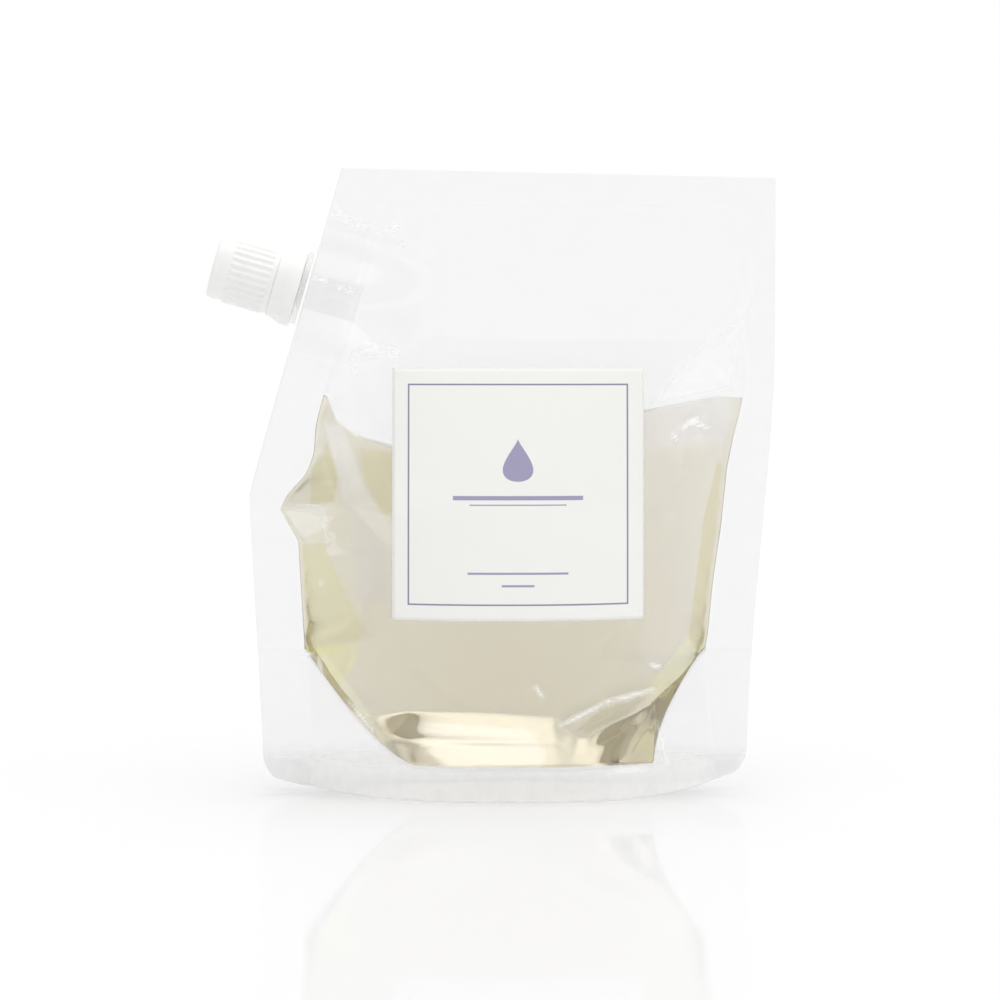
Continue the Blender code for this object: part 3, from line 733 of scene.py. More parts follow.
    def ripples(self, x: Array, z: Array, side: Side) -> Array:
        """The film's slow waves, and the puckers that run in from its seals.

        Args:
            x: X of the points, in metres.
            z: Z of the points, in metres.
            side: The panel.

        Returns:
            How far they move the film out, in metres.
        """
        left, right = self.chamber(z)
        from_seal = np.clip(np.minimum(x - left, right - x), 0.0, None)
        turn = side.value * 1.3
        waves = np.sin(x / (7.1 * MM) + z / (11.0 * MM) + turn) * np.sin(z / (8.3 * MM) - turn)
        slow = self.wave_height * waves * smoothstep(from_seal / self.wave_start)
        pucker = np.sin(z / (1.5 * MM) + 2.0 * np.sin(z / (9.0 * MM) + turn))
        near = np.exp(-from_seal / self.pucker_reach) * smoothstep(from_seal / self.pucker_start)
        return slow + self.pucker_height * pucker * near

    def inner_face(self, x: Array, z: Array, side: Side) -> Array:
        """Distance from the middle plane to a panel's inner face.

        Args:
            x: X of the points.
            z: Z of the points.
            side: The panel.

        Returns:
            The distance, always above 0.
        """
        belly = self.belly(x, z)
        folds = sum(fold.lift(x, z) for fold in self.folds[side])
        held = smoothstep(belly / (self.back_grip if side is Side.BACK else self.front_grip))
        shape = folds + self.ripples(x, z, side) * held
        if side is Side.FRONT:
            shape = shape * self.off_label(x, z)
        least = np.full_like(x, self.film_gap)
        over_boat = smooth_max(self.over_boat(x, z), least, self.fillet)
        full = np.maximum(smooth_max(belly, least, self.fillet), over_boat)
        return np.maximum(full + shape, self.film_gap)

    def seal_height(self, spot: Array) -> Array:
        """Height of the seal line between the gusset and the panels.

        Args:
            spot: The place across the chamber, -1 to 1.

        Returns:
            The height, in metres.
        """
        start = np.where(spot < 0.0, self.left_seal_start, self.right_seal_start) / self.chamber_half
        power = np.where(spot < 0.0, self.left_seal_power, self.right_seal_power)
        share = np.clip((np.abs(spot) - start) / (1.0 - start), 0.0, 1.0)
        return self.base_seal + (self.gusset_height - self.base_seal) * share**power

    def ridge_height(self, x: Array) -> Array:
        """Height of the gusset film on the middle plane, where it stands up in slack folds."""
        return np.interp(x / MM, self.ridge_places, self.ridge_heights) * MM

    def gusset_profile(self, x: Array, reach: Array) -> Array:
        """How far the gusset has risen from its seal line, 0, to its ridge, 1, at a place front to back.

        Args:
            x: X of the points, in metres.
            reach: The place from the front panel at -1 to the back panel at 1.

        Returns:
            The share of the rise.
        """
        rising = smoothstep((x - self.ridge_left) / self.ridge_left_fade)
        falling = smoothstep((x - self.ridge_right) / self.ridge_right_fade)
        ridge = self.ridge_reach * (rising * (1.0 - falling))
        slope = np.where(reach < ridge, (reach + 1.0) / (ridge + 1.0), (1.0 - reach) / (1.0 - ridge))
        halfway = np.exp(-(((slope - 0.48) / 0.07) ** 2))
        kink = self.kink_depth * halfway * np.exp(-(((x - self.kink_x) / self.kink_reach) ** 2))
        rounded = slope + 0.04 - 0.5 * (0.08 + slope - 1.0 + np.sqrt((slope - 1.0) ** 2 + 0.003))
        return np.clip(np.minimum(slope, rounded) - kink, 0.0, 1.0)

    def gusset_floor(self, spot: Array, reach: Array, clearance: float = 0.0) -> Array:
        """Points of the gusset's upper face, or of the liquid a clearance above it.

        Args:
            spot: The place across the chamber, -1 to 1.
            reach: The place from the front panel at -1 to the back panel at 1.
            clearance: How far over the film the points lie.

        Returns:
            Rows of X, Y and Z.
        """
        top = self.seal_height(spot)
        x = self.place_x(spot, top)
        rim_front = self.inner_face(x, top, Side.FRONT)
        rim_back = self.inner_face(x, top, Side.BACK)
        y = np.where(reach < 0.0, reach * rim_front, reach * rim_back)
        inner = reach * (1.0 - clearance / self.floor_half)
        z = top + (self.ridge_height(x) - top) * self.gusset_profile(x, inner)
        return np.column_stack((x, y, z + clearance))


FILM_ZONES = ("seal", "haze_and_highlights", "passing")


def write_film_zones(mesh: bpy.types.Mesh, *zones: Array) -> None:
    """Writes how welded each point of a film is, its haze with the painted highlights, and the light that it
    lets through.

    Args:
        mesh: The film's mesh.
        zones: The values of its points, in the order of FILM_ZONES.
    """
    for name, values in zip(FILM_ZONES, zones):
        layer = mesh.attributes.new(name, "FLOAT", "POINT")
        layer.data.foreach_set("value", values.astype(np.float32))


@dataclass(frozen=True)
class LaminateFilm:
    """Clear laminate of nylon and polyethylene, cast and roll-laminated: a glossy, faintly hazy skin."""

    tint: str = "#FAFAFA"
    haze_and_highlights: str = "#FFFFFE"
    roughness: float = 0.05
    seal_roughness: float = 0.16
    mottle: float = 5.0 * MM

    def build(self, name: str = "clear_nylon_polyethylene_film") -> bpy.types.Material:
        """Makes the material. The points' attributes say how welded and hazy the film is, with highlights
        painted as white haze, and how much light it lets through, less at the foot to cast a painted shadow.

        Args:
            name: The material's name.

        Returns:
            The material.
        """
        material, tree, output = new_material(name)
        place = add_node(tree, "ShaderNodeTexCoord").outputs["Object"]
        seal, haze_and_highlights, passing = (
            add_node(tree, "ShaderNodeAttribute", {"attribute_name": zone}).outputs["Fac"]
            for zone in FILM_ZONES
        )
        noise = add_node(
            tree, "ShaderNodeTexNoise", None, {"Vector": place, "Scale": 1.0 / self.mottle, "Detail": 3.0}
        ).outputs["Fac"]
        uneven = add_node(
            tree,
            "ShaderNodeMapRange",
            None,
            {"Value": noise, "From Min": 0.3, "From Max": 0.7, "To Min": 0.93, "To Max": 1.07},
        ).outputs["Result"]
        amount = add_node(
            tree, "ShaderNodeMath", {"operation": "MULTIPLY", "use_clamp": True}, {0: haze_and_highlights, 1: uneven}
        ).outputs[0]
        rough = add_node(
            tree,
            "ShaderNodeMapRange",
            None,
            {"Value": seal, "To Min": self.roughness, "To Max": self.seal_roughness},
        ).outputs["Result"]
        clear = add_node(
            tree, "ShaderNodeBsdfTransparent", None, {"Color": hex_colour(self.tint)}
        ).outputs[0]
        gloss = add_node(
            tree, "ShaderNodeBsdfGlossy", None, {"Color": WHITE, "Roughness": rough}
        ).outputs[0]
        fresnel = add_node(tree, "ShaderNodeFresnel", None, {"IOR": 1.58}).outputs[0]
        skin = add_node(tree, "ShaderNodeMixShader", None, {0: fresnel, 1: clear, 2: gloss}).outputs[0]
        # White haze: the film's own haze, and also the painted highlights along the folds and the glare.
        cloud = add_node(tree, "ShaderNodeBsdfDiffuse", None, {"Color": hex_colour(self.haze_and_highlights)}).outputs[0]
        seen = add_node(tree, "ShaderNodeMixShader", None, {0: amount, 1: skin, 2: cloud}).outputs[0]
        # Shadow and bounce rays pass the film with the points' passing tint, which is darkened at the foot
        # to cast a painted shadow.
        lighted = add_node(tree, "ShaderNodeBsdfTransparent", None, {"Color": passing}).outputs[0]
        soft = soft_ray(tree)
        outer = add_node(tree, "ShaderNodeMixShader", None, {0: soft, 1: seen, 2: lighted}).outputs[0]
        inner = add_node(tree, "ShaderNodeBsdfRefraction", None, {"IOR": 1.0, "Roughness": 0.0}).outputs[0]
        inner.node.inputs["Color"].default_value = WHITE
        open_way = add_node(tree, "ShaderNodeBsdfTransparent", None, {"Color": WHITE}).outputs[0]
        passed = add_node(tree, "ShaderNodeMixShader", None, {0: soft, 1: inner, 2: open_way}).outputs[0]
        leaving = add_node(tree, "ShaderNodeNewGeometry").outputs["Backfacing"]
        film = add_node(tree, "ShaderNodeMixShader", None, {0: leaving, 1: outer, 2: passed}).outputs[0]
        tree.links.new(film, output.inputs["Surface"])
        return material


@dataclass(frozen=True)
class LiquidSoap:
    """Clear liquid soap, water with glycerine and surfactant: pale yellow, deeper where it lies thick."""

    ior: float = 1.34
    tint: str = "#ECE8D8"
    absorbed: str = "#BCAA69"
    density: float = 10.0

    def build(self, name: str = "clear_yellow_liquid_soap") -> bpy.types.Material:
        """Makes the material.

        Args:
            name: The material's name.

        Returns:
            The material.
        """
        material, tree, output = new_material(name)
        # Painted light and shade from the points' attribute multiply the liquid's tint.
        tone = add_node(tree, "ShaderNodeAttribute", {"attribute_name": "tone"}).outputs["Color"]
        tint_and_painted_shading = add_node(
            tree,
            "ShaderNodeMixRGB",
            {"blend_type": "MULTIPLY", "use_clamp": True},
            {0: 1.0, 1: hex_colour(self.tint), 2: tone},
        ).outputs[0]
        body = add_node(
            tree,
            "ShaderNodeBsdfPrincipled",
            None,
            {
                "Base Color": tint_and_painted_shading,
                "Roughness": 0.0,
                "IOR": self.ior,
                "Transmission Weight": 1.0,
            },
        ).outputs[0]
        depth = add_node(
            tree,
            "ShaderNodeVolumeAbsorption",
            None,
            {"Color": hex_colour(self.absorbed), "Density": self.density},
        ).outputs[0]
        open_way = add_node(tree, "ShaderNodeBsdfTransparent", None, {"Color": WHITE}).outputs[0]
        surface = add_node(
            tree, "ShaderNodeMixShader", None, {0: soft_ray(tree), 1: body, 2: open_way}
        ).outputs[0]
        tree.links.new(surface, output.inputs["Surface"])
        tree.links.new(depth, output.inputs["Volume"])
        return material


@dataclass(frozen=True)
class CoatedPaper:
    """Clay-coated label paper, offset printed and varnished: satin white with a soft tooth."""

    side: float = LABEL_SIDE
    paper: str = "#F6F6F2"
    fibre: str = "#F2F2ED"
    ink: str = "#A39EBC"
    grey_ink: str = "#8E8DA6"
    border_inset: float = 4.2 * MM
    border_width: float = 0.42 * MM
    tooth: float = 0.35 * MM

    def band(
        self, tree: bpy.types.NodeTree, value: bpy.types.NodeSocket, centre: float, half: float
    ) -> bpy.types.NodeSocket:
        """A mask that is 1 where a length is within a distance of another.

        Args:
            tree: The node tree.
            value: The length, in metres.
            centre: The middle of the band.
            half: Half its width.

        Returns:
            The mask's socket.
        """
        return add_node(
            tree, "ShaderNodeMath", {"operation": "COMPARE"}, {0: value, 1: centre, 2: half}
        ).outputs[0]

    def build(self, name: str = "coated_label_paper") -> bpy.types.Material:
        """Makes the material, with its print placed by the label's own UV map.

        Args:
            name: The material's name.

        Returns:
            The material.
        """
        material, tree, output = new_material(name)
        uv = add_node(tree, "ShaderNodeUVMap").outputs[0]
        split = add_node(tree, "ShaderNodeSeparateXYZ", None, {0: uv})
        lengths = []
        for axis in (0, 1):
            centred = add_node(
                tree, "ShaderNodeMath", {"operation": "SUBTRACT"}, {0: split.outputs[axis], 1: 0.5}
            ).outputs[0]
            lengths.append(
                add_node(
                    tree, "ShaderNodeMath", {"operation": "MULTIPLY"}, {0: centred, 1: self.side}
                ).outputs[0]
            )
        across, up = lengths
        mirror = add_node(tree, "ShaderNodeMath", {"operation": "ABSOLUTE"}, {0: across}).outputs[0]
        upright = add_node(tree, "ShaderNodeMath", {"operation": "ABSOLUTE"}, {0: up}).outputs[0]
        outer = add_node(
            tree, "ShaderNodeMath", {"operation": "MAXIMUM"}, {0: mirror, 1: upright}
        ).outputs[0]
        border = self.band(tree, outer, self.side / 2 - self.border_inset, self.border_width / 2)
        drop = self.drop(tree, mirror, up)
        marks = [drop]
        for centre, half_height, half_width in self.rules():
            row = self.band(tree, up, centre, half_height)
            run = self.band(tree, mirror, 0.0, half_width)
            marks.append(
                add_node(tree, "ShaderNodeMath", {"operation": "MULTIPLY"}, {0: row, 1: run}).outputs[0]
            )
        print_mask = marks[0]
        for mark in marks[1:]:
            print_mask = add_node(
                tree, "ShaderNodeMath", {"operation": "MAXIMUM"}, {0: print_mask, 1: mark}
            ).outputs[0]
        place = add_node(tree, "ShaderNodeTexCoord").outputs["Object"]
        ink = add_node(
            tree,
            "ShaderNodeMixRGB",
            {"blend_type": "MIX"},
            {0: border, 1: hex_colour(self.ink), 2: hex_colour(self.grey_ink)},
        ).outputs[0]
        print_mask = add_node(
            tree, "ShaderNodeMath", {"operation": "MAXIMUM"}, {0: print_mask, 1: border}
        ).outputs[0]
        facing = add_node(
            tree, "ShaderNodeSeparateXYZ", None, {0: add_node(tree, "ShaderNodeTexCoord").outputs["Normal"]}
        ).outputs[1]
        printed = add_node(
            tree, "ShaderNodeMath", {"operation": "LESS_THAN"}, {0: facing, 1: 0.0}
        ).outputs[0]
        print_mask = add_node(
            tree, "ShaderNodeMath", {"operation": "MULTIPLY"}, {0: print_mask, 1: printed}
        ).outputs[0]
        fibre = add_node(
            tree, "ShaderNodeTexNoise", None, {"Vector": place, "Scale": 1.0 / self.tooth, "Detail": 4.0}
        ).outputs["Fac"]
        ground = add_node(
            tree,
            "ShaderNodeMixRGB",
            {"blend_type": "MIX"},
            {0: fibre, 1: hex_colour(self.paper), 2: hex_colour(self.fibre)},
        ).outputs[0]
        colour = add_node(
            tree,
            "ShaderNodeMixRGB",
            {"blend_type": "MIX"},
            {0: print_mask, 1: ground, 2: ink},
        ).outputs[0]
        bump = add_node(
            tree, "ShaderNodeBump", None, {"Height": fibre, "Strength": 0.12, "Distance": 0.02 * MM}
        ).outputs[0]
        shader = add_node(
            tree,
            "ShaderNodeBsdfPrincipled",
            None,
            {"Base Color": colour, "Roughness": 0.5, "Specular IOR Level": 0.35, "Normal": bump},
        ).outputs[0]
        tree.links.new(shader, output.inputs["Surface"])
        return material

    def rules(self) -> tuple[tuple[float, float, float], ...]:
        """The printed rules: height of the middle, half height and half width of each.

        Returns:
            The rules, from the top.
        """
        return (
            (-0.8 * MM, 0.55 * MM, 16.8 * MM),
            (-2.6 * MM, 0.16 * MM, 12.5 * MM),
            (-20.2 * MM, 0.28 * MM, 13.0 * MM),
            (-23.4 * MM, 0.28 * MM, 4.2 * MM),
        )

    def drop(
        self, tree: bpy.types.NodeTree, mirror: bpy.types.NodeSocket, up: bpy.types.NodeSocket
    ) -> bpy.types.NodeSocket:
        """The mask of a plain water drop over the rules.

        Args:
            tree: The node tree.
            mirror: Distance from the label's upright middle line.
            up: Height over the label's middle.

        Returns:
            The mask's socket.
        """
        foot, tall, wide = 3.4 * MM, 11.0 * MM, 11.6 * MM
        raised = add_node(tree, "ShaderNodeMath", {"operation": "SUBTRACT"}, {0: up, 1: foot}).outputs[0]
        share = add_node(
            tree, "ShaderNodeMath", {"operation": "DIVIDE", "use_clamp": True}, {0: raised, 1: tall}
        ).outputs[0]
        rest = add_node(
            tree, "ShaderNodeMath", {"operation": "SUBTRACT", "use_clamp": True}, {0: 1.0, 1: share}
        ).outputs[0]
        root = add_node(tree, "ShaderNodeMath", {"operation": "SQRT"}, {0: share}).outputs[0]
        taper = add_node(tree, "ShaderNodeMath", {"operation": "POWER"}, {0: rest, 1: 1.35}).outputs[0]
        profile = add_node(tree, "ShaderNodeMath", {"operation": "MULTIPLY"}, {0: root, 1: taper}).outputs[0]
        half = add_node(tree, "ShaderNodeMath", {"operation": "MULTIPLY"}, {0: profile, 1: wide}).outputs[0]
        return add_node(tree, "ShaderNodeMath", {"operation": "LESS_THAN"}, {0: mirror, 1: half}).outputs[0]


@dataclass(frozen=True)
class MouldedPolyethylene:
    """Injection-moulded polyethylene: waxy white, lightly sparked, with a soft broad gloss."""

    name: str
    colour: str
    shade: str
    roughness: float = 0.34
    grain: float = 0.5 * MM
    bump: float = 0.08

    def build(self) -> bpy.types.Material:
        """Makes the material.

        Returns:
            The material.
        """
        material, tree, output = new_material(self.name)
        place = add_node(tree, "ShaderNodeTexCoord").outputs["Object"]
        grain = add_node(
            tree, "ShaderNodeTexNoise", None, {"Vector": place, "Scale": 1.0 / self.grain, "Detail": 3.0}
        ).outputs["Fac"]
        flow = add_node(
            tree, "ShaderNodeTexNoise", None, {"Vector": place, "Scale": 0.1 / self.grain, "Detail": 2.0}
        ).outputs["Fac"]
        colour = add_node(
            tree,
            "ShaderNodeMixRGB",
            {"blend_type": "MIX"},
            {0: flow, 1: hex_colour(self.colour), 2: hex_colour(self.shade)},
        ).outputs[0]
        rough = add_node(
            tree,
            "ShaderNodeMapRange",
            None,
            {"Value": grain, "To Min": self.roughness - 0.06, "To Max": self.roughness + 0.06},
        ).outputs["Result"]
        bump = add_node(
            tree, "ShaderNodeBump", None, {"Height": grain, "Strength": self.bump, "Distance": 0.03 * MM}
        ).outputs[0]
        shader = add_node(
            tree,
            "ShaderNodeBsdfPrincipled",
            None,
            {
                "Base Color": colour,
                "Roughness": rough,
                "IOR": 1.51,
                "Subsurface Weight": 0.12,
                "Subsurface Radius": (1.0, 1.0, 0.9),
                "Subsurface Scale": 0.8 * MM,
                "Normal": bump,
            },
        ).outputs[0]
        tree.links.new(shader, output.inputs["Surface"])
        return material


@dataclass(frozen=True)
class NaturalPolyethylene:
    """Unpigmented moulded polyethylene: milky, lets much of the light through, with a waxy skin."""

    name: str = "moulded_natural_polyethylene"
    colour: str = "#FBFBF9"
    milk: float = 0.4
    roughness: float = 0.3
    cloud: float = 3.0 * MM

    def build(self) -> bpy.types.Material:
        """Makes the material.

        Returns:
            The material.
        """
        material, tree, output = new_material(self.name)
        place = add_node(tree, "ShaderNodeTexCoord").outputs["Object"]
        cloud = add_node(
            tree, "ShaderNodeTexNoise", None, {"Vector": place, "Scale": 1.0 / self.cloud, "Detail": 2.0}
        ).outputs["Fac"]
        milk = add_node(
            tree,
            "ShaderNodeMapRange",
            None,
            {"Value": cloud, "To Min": self.milk * 0.8, "To Max": self.milk * 1.2},
        ).outputs["Result"]
        colour = hex_colour(self.colour)
        skin = add_node(
            tree,
            "ShaderNodeBsdfPrincipled",
            None,
            {"Base Color": colour, "Roughness": self.roughness, "IOR": 1.51},
        ).outputs[0]
        through = add_node(tree, "ShaderNodeBsdfTranslucent", None, {"Color": colour}).outputs[0]
        body = add_node(tree, "ShaderNodeMixShader", None, {0: 0.45, 1: skin, 2: through}).outputs[0]
        clear = add_node(tree, "ShaderNodeBsdfTransparent", None, {"Color": WHITE}).outputs[0]
        shader = add_node(tree, "ShaderNodeMixShader", None, {0: milk, 1: clear, 2: body}).outputs[0]
        tree.links.new(shader, output.inputs["Surface"])
        return material


@dataclass
class FilmPanel:
    """One of the two film panels, welded round its edges and swollen by the liquid."""

    form: PouchForm
    side: Side
    thickness: float = 0.16 * MM
    columns: int = 190
    rows: int = 220
    left_share: float = 0.09
    right_share: float = 0.056
    edge_fade: float = 0.8 * MM
    top_seal: float = 10.0 * MM
    foot_top: float = 13.0 * MM
    foot_fade: float = 6.0 * MM
    damp_low: float = 88.0 * MM
    damp_low_fade: float = 8.0 * MM
    damp_high: float = 108.0 * MM
    damp_high_fade: float = 14.0 * MM
    corner_start: float = 30.0 * MM
    corner_fade: float = 18.0 * MM
    clear_haze: float = 0.022
    weld_haze: float = 0.04
    damp_haze: float = 0.08
    painted_glare: float = 0.5
    foot_haze_and_painted_light: float = 0.3
    clear_passing: float = 0.985
    weld_shade: float = 0.05
    foot_shade: float = 0.34
    middle_shade: float = 0.12

    def spots(self, share: Array) -> Array:
        """The place across the pouch, -2 to 2, for a share of the panel's width.

        Args:
            share: The share, 0 at the left edge.

        Returns:
            The place.
        """
        inside = (share - self.left_share) / (1.0 - self.left_share - self.right_share)
        spot = -1.0 + 2.0 * inside
        spot = np.where(share < self.left_share, -2.0 + share / self.left_share, spot)
        return np.where(share > 1.0 - self.right_share, 2.0 - (1.0 - share) / self.right_share, spot)

    def place(self, u: Array, v: Array) -> Array:
        """Points of the panel's inner face for shares across and up it.

        Args:
            u: Shares across, from 0 to 1.
            v: Shares up, from 0 to 1.

        Returns:
            Rows of X, Y and Z.
        """
        form = self.form
        spot = self.spots(u if self.side is Side.FRONT else 1.0 - u)
        z = v * form.height
        x = form.place_x(spot, z)
        fall = form.top_fall * (x + form.width / 2 - form.cut_width) / (form.width - form.cut_width)
        z = z + form.base_lift(spot) * (1.0 - v) ** 8 - fall * v**8
        x = form.place_x(spot, z)
        return np.column_stack((x, self.side.value * form.inner_face(x, z, self.side), z))

    def build(self, material: bpy.types.Material) -> bpy.types.Object:
        """Makes the panel and its zones.

        Args:
            material: The film's finish.

        Returns:
            The panel.
        """
        name = "front_film" if self.side is Side.FRONT else "back_film"
        node = "front_panel" if self.side is Side.FRONT else "back_panel"
        panel = shaped_grid(name, self.columns, self.rows, self.place)
        self.mark_zones(panel.data)
        apply_modifier(panel, "SOLIDIFY", thickness=self.thickness, offset=1.0)
        return finish_piece(panel, material, Body.PACK, Slot.FILM, node)

    def mark_zones(self, mesh: bpy.types.Mesh) -> None:
        """Writes how far each point is welded, how damp it is over the liquid, its haze with painted
        highlights, and the light it lets through, with a painted shadow at the foot.

        Args:
            mesh: The panel's mesh.
        """
        form = self.form
        points = read_points(mesh)
        x, z = points[:, 0], points[:, 2]
        left, right = form.chamber(z)
        outside = np.maximum(left - x, x - right) / self.edge_fade
        spot = np.clip((x - (left + right) / 2) / ((right - left) / 2), -1.0, 1.0)
        below = smoothstep((form.seal_height(spot) - z) / self.edge_fade + 0.5)
        above = (z - (form.height - self.top_seal)) / self.edge_fade
        seal = smoothstep(np.maximum(outside, above) + 0.5)
        foot = smoothstep((self.foot_top - z) / self.foot_fade) * below
        risen = smoothstep((z - self.damp_low) / self.damp_low_fade)
        dried = smoothstep((z - self.damp_high) / self.damp_high_fade)
        damp = risen * (1.0 - dried) * (1.0 - smoothstep(outside + 0.5))
        corner = smoothstep((np.abs(x) - self.corner_start) / self.corner_fade)
        # Painted highlights: white haze along the fold crests, standing in for glints.
        painted_glints = sum(fold.painted_glint(x, z) for fold in form.folds[self.side])
        haze_and_highlights = self.clear_haze + self.weld_haze * seal + self.weld_haze * below
        # The foot's haze is partly the base seal's own haze and partly painted light that lightens the base
        # band.
        haze_and_highlights = haze_and_highlights + self.foot_haze_and_painted_light * foot + self.damp_haze * damp + painted_glints
        # Painted highlight: the glare patch is laid on as white haze.
        if self.side is Side.FRONT:
            haze_and_highlights = haze_and_highlights + self.painted_glare * FRONT_GLARE.mask(x, z)
        welded = np.maximum(seal, below)
        shaded = self.middle_shade + (1.0 - self.middle_shade) * corner
        # Painted shadow: near the lower corners the film lets less light through to shadow and bounce rays,
        # so it casts darker contact shadows on the floor than its seal alone would.
        passing = self.clear_passing - self.weld_shade * welded - self.foot_shade * foot * shaded
        write_film_zones(mesh, welded, haze_and_highlights, passing)


@dataclass
class GussetFilm:
    """The film folded in between the panels: the floor that the liquid stands on."""

    form: PouchForm
    thickness: float = 0.16 * MM
    tab: float = 1.0 * MM
    tab_share: float = 0.04
    columns: int = 130
    rows: int = 84

    def place(self, u: Array, v: Array) -> Array:
        """Points of the gusset's lower face, with a tab that runs down inside each panel.

        Args:
            u: Shares across, from 0 to 1.
            v: Shares from front to back, from 0 to 1.

        Returns:
            Rows of X, Y and Z.
        """
        form = self.form
        spot = -1.0 + 2.0 * u
        ways = (v * 2.0 - 1.0) * (1.0 + self.tab_share)
        share = np.clip(ways, -1.0, 1.0)
        points = form.gusset_floor(spot, crowd_ends(share))
        points[:, 1] *= GUSSET_SHARE
        past = np.clip(np.abs(ways) - 1.0, 0.0, self.tab_share) / self.tab_share
        points[:, 2] -= past * self.tab
        return points

    def build(self, material: bpy.types.Material) -> bpy.types.Object:
        """Makes the gusset.

        Args:
            material: The film's finish.

        Returns:
            The gusset.
        """
        gusset = shaped_grid("gusset_film", self.columns, self.rows, self.place)
        mesh = gusset.data
        plain = np.ones(len(mesh.vertices))
        write_film_zones(mesh, plain * 0.0, plain * 0.03, plain * 0.995)
        apply_modifier(gusset, "SOLIDIFY", thickness=self.thickness, offset=-1.0)
        return finish_piece(gusset, material, Body.PACK, Slot.FILM, "bottom_gusset")


@dataclass
class SoapFill:
    """The liquid, which fills the pouch from the gusset up to a level and climbs where the film pinches."""

    form: PouchForm
    level: float = 93.0 * MM
    level_places: tuple[float, ...] = (-52.0, -49.8, -46.0, -40.0, -31.0, -12.0, 18.0, 34.8, 51.0, 60.0)
    level_heights: tuple[float, ...] = (104.6, 103.6, 97.6, 93.4, 90.6, 90.8, 96.0, 100.2, 103.7, 103.2)
    film_clearance: float = 0.05 * MM
    floor_clearance: float = 0.3 * MM
    reach: float = 0.996
    edge_share: float = 0.003
    front_start: float = 0.2 * MM
    front_fade: float = 0.6 * MM
    columns: int = 150
    panel_rows: int = 105
    level_rows: int = 12
    floor_rows: int = 80

    @property
    def total(self) -> int:
        """Faces once round the liquid."""
        return 2 * self.panel_rows + self.level_rows + self.floor_rows

    def level_at(self, x: Array) -> Array:
        """Height of the liquid's edge on the film, which it wets and climbs beside the seals."""
        return np.interp(x / MM, self.level_places, self.level_heights) * MM

    def place(self, u: Array, v: Array) -> Array:
        """Points round the liquid: up the front, over its surface, down the back and along the floor.

        Args:
            u: Shares across, from 0 to 1.
            v: Shares of the way round, from 0 to 1.

        Returns:
            Rows of X, Y and Z.
        """
        form = self.form
        across = 2.0 * u - 1.0
        spot = crowd_ends(across) * self.reach
        step = np.round(v * self.total) % self.total
        top = form.seal_height(spot) + self.floor_clearance
        level = self.level_at(form.place_x(spot, np.full_like(spot, self.level)))
        up = np.clip(step / self.panel_rows, 0.0, 1.0)
        over = np.clip((step - self.panel_rows) / self.level_rows, 0.0, 1.0)
        down = np.clip((step - self.panel_rows - self.level_rows) / self.panel_rows, 0.0, 1.0)
        along = np.clip((step - 2 * self.panel_rows - self.level_rows) / self.floor_rows, 0.0, 1.0)
        z = top + (level - top) * (up - down)
        x = form.place_x(spot, z)
        front = form.inner_face(x, z, Side.FRONT) - self.film_clearance
        back = form.inner_face(x, z, Side.BACK) - self.film_clearance
        thin = np.clip((1.0 - np.abs(spot) / self.reach) / self.edge_share, 0.0, 1.0)
        y = np.where(over < 1.0, -front + (front + back) * over, back) * thin
        wall = np.column_stack((x, y, z))
        share = 1.0 - 2.0 * along
        floor = form.gusset_floor(spot, crowd_ends(share) * GUSSET_SHARE, self.floor_clearance)
        floor[:, 1] *= thin
        on_floor = (along > 0.0) & (along < 1.0)
        return np.where(on_floor[:, None], floor, wall)

    def build(self, material: bpy.types.Material) -> bpy.types.Object:
        """Makes the liquid.

        Args:
            material: Its finish.

        Returns:
            The liquid.
        """
        soap = shaped_grid("liquid_fill", self.columns, self.total, self.place)
        merge_and_face_out(5e-6)
        self.mark_painted_shading(soap.data)
        return finish_piece(soap, material, Body.PACK, Slot.SOAP, "liquid_soap")

    def mark_painted_shading(self, mesh: bpy.types.Mesh) -> None:
        """Writes the painted light and shade on the liquid's front: how much lighter or darker each point is
        painted.

        Args:
            mesh: The liquid's mesh.
        """
        points = read_points(mesh)
        front = smoothstep((-points[:, 1] - self.front_start) / self.front_fade)
        shading_factors = np.ones((len(points), 4))
        for facet in SOAP_PAINTED_SHADING:
            share = (facet.mask(points[:, 0], points[:, 2]) * front)[:, None]
            shading_factors[:, :3] *= 1.0 + (np.array(facet.tone) ** 2 - 1.0) * share
        layer = mesh.attributes.new("tone", "FLOAT_COLOR", "POINT")
        layer.data.foreach_set("color", shading_factors.reshape(-1).astype(np.float32))


@dataclass
class PaperLabel:
    """The square paper label on the front panel."""

    form: PouchForm
    side: float = LABEL_SIDE
    thickness: float = 0.12 * MM
    lift: float = 0.22 * MM
    faces: int = 60

    def place(self, u: Array, v: Array) -> Array:
        """Points of the label's back face for shares across and up it.

        Args:
            u: Shares across, from 0 to 1.
            v: Shares up, from 0 to 1.

        Returns:
            Rows of X, Y and Z.
        """
        form = self.form
        x = form.label_x + (u - 0.5) * self.side
        z = form.label_low + v * (form.label_high - form.label_low)
        depth = form.inner_face(x, z, Side.FRONT) + self.lift
        return np.column_stack((x, -depth, z))

    def build(self, material: bpy.types.Material) -> bpy.types.Object:
        """Makes the label.

        Args:
            material: Its finish.

        Returns:
            The label.
        """
        label = shaped_grid("paper_label", self.faces, self.faces, self.place)
        apply_modifier(label, "SOLIDIFY", thickness=self.thickness, offset=1.0)
        return finish_piece(label, material, Body.PACK, Slot.LABEL, "front_label")


@dataclass(frozen=True)
class Corner:
    """A corner of a turned profile.

    Attributes:
        radius: Distance from the axis, in millimetres.
        height: Height along the axis, in millimetres.
        round: Size of the corner's rounding, in millimetres.
    """

    radius: float
    height: float
    round: float = 0.0

    def point(self) -> Array:
        """The corner as radius and height in metres."""
        return np.array((self.radius, self.height)) * MM


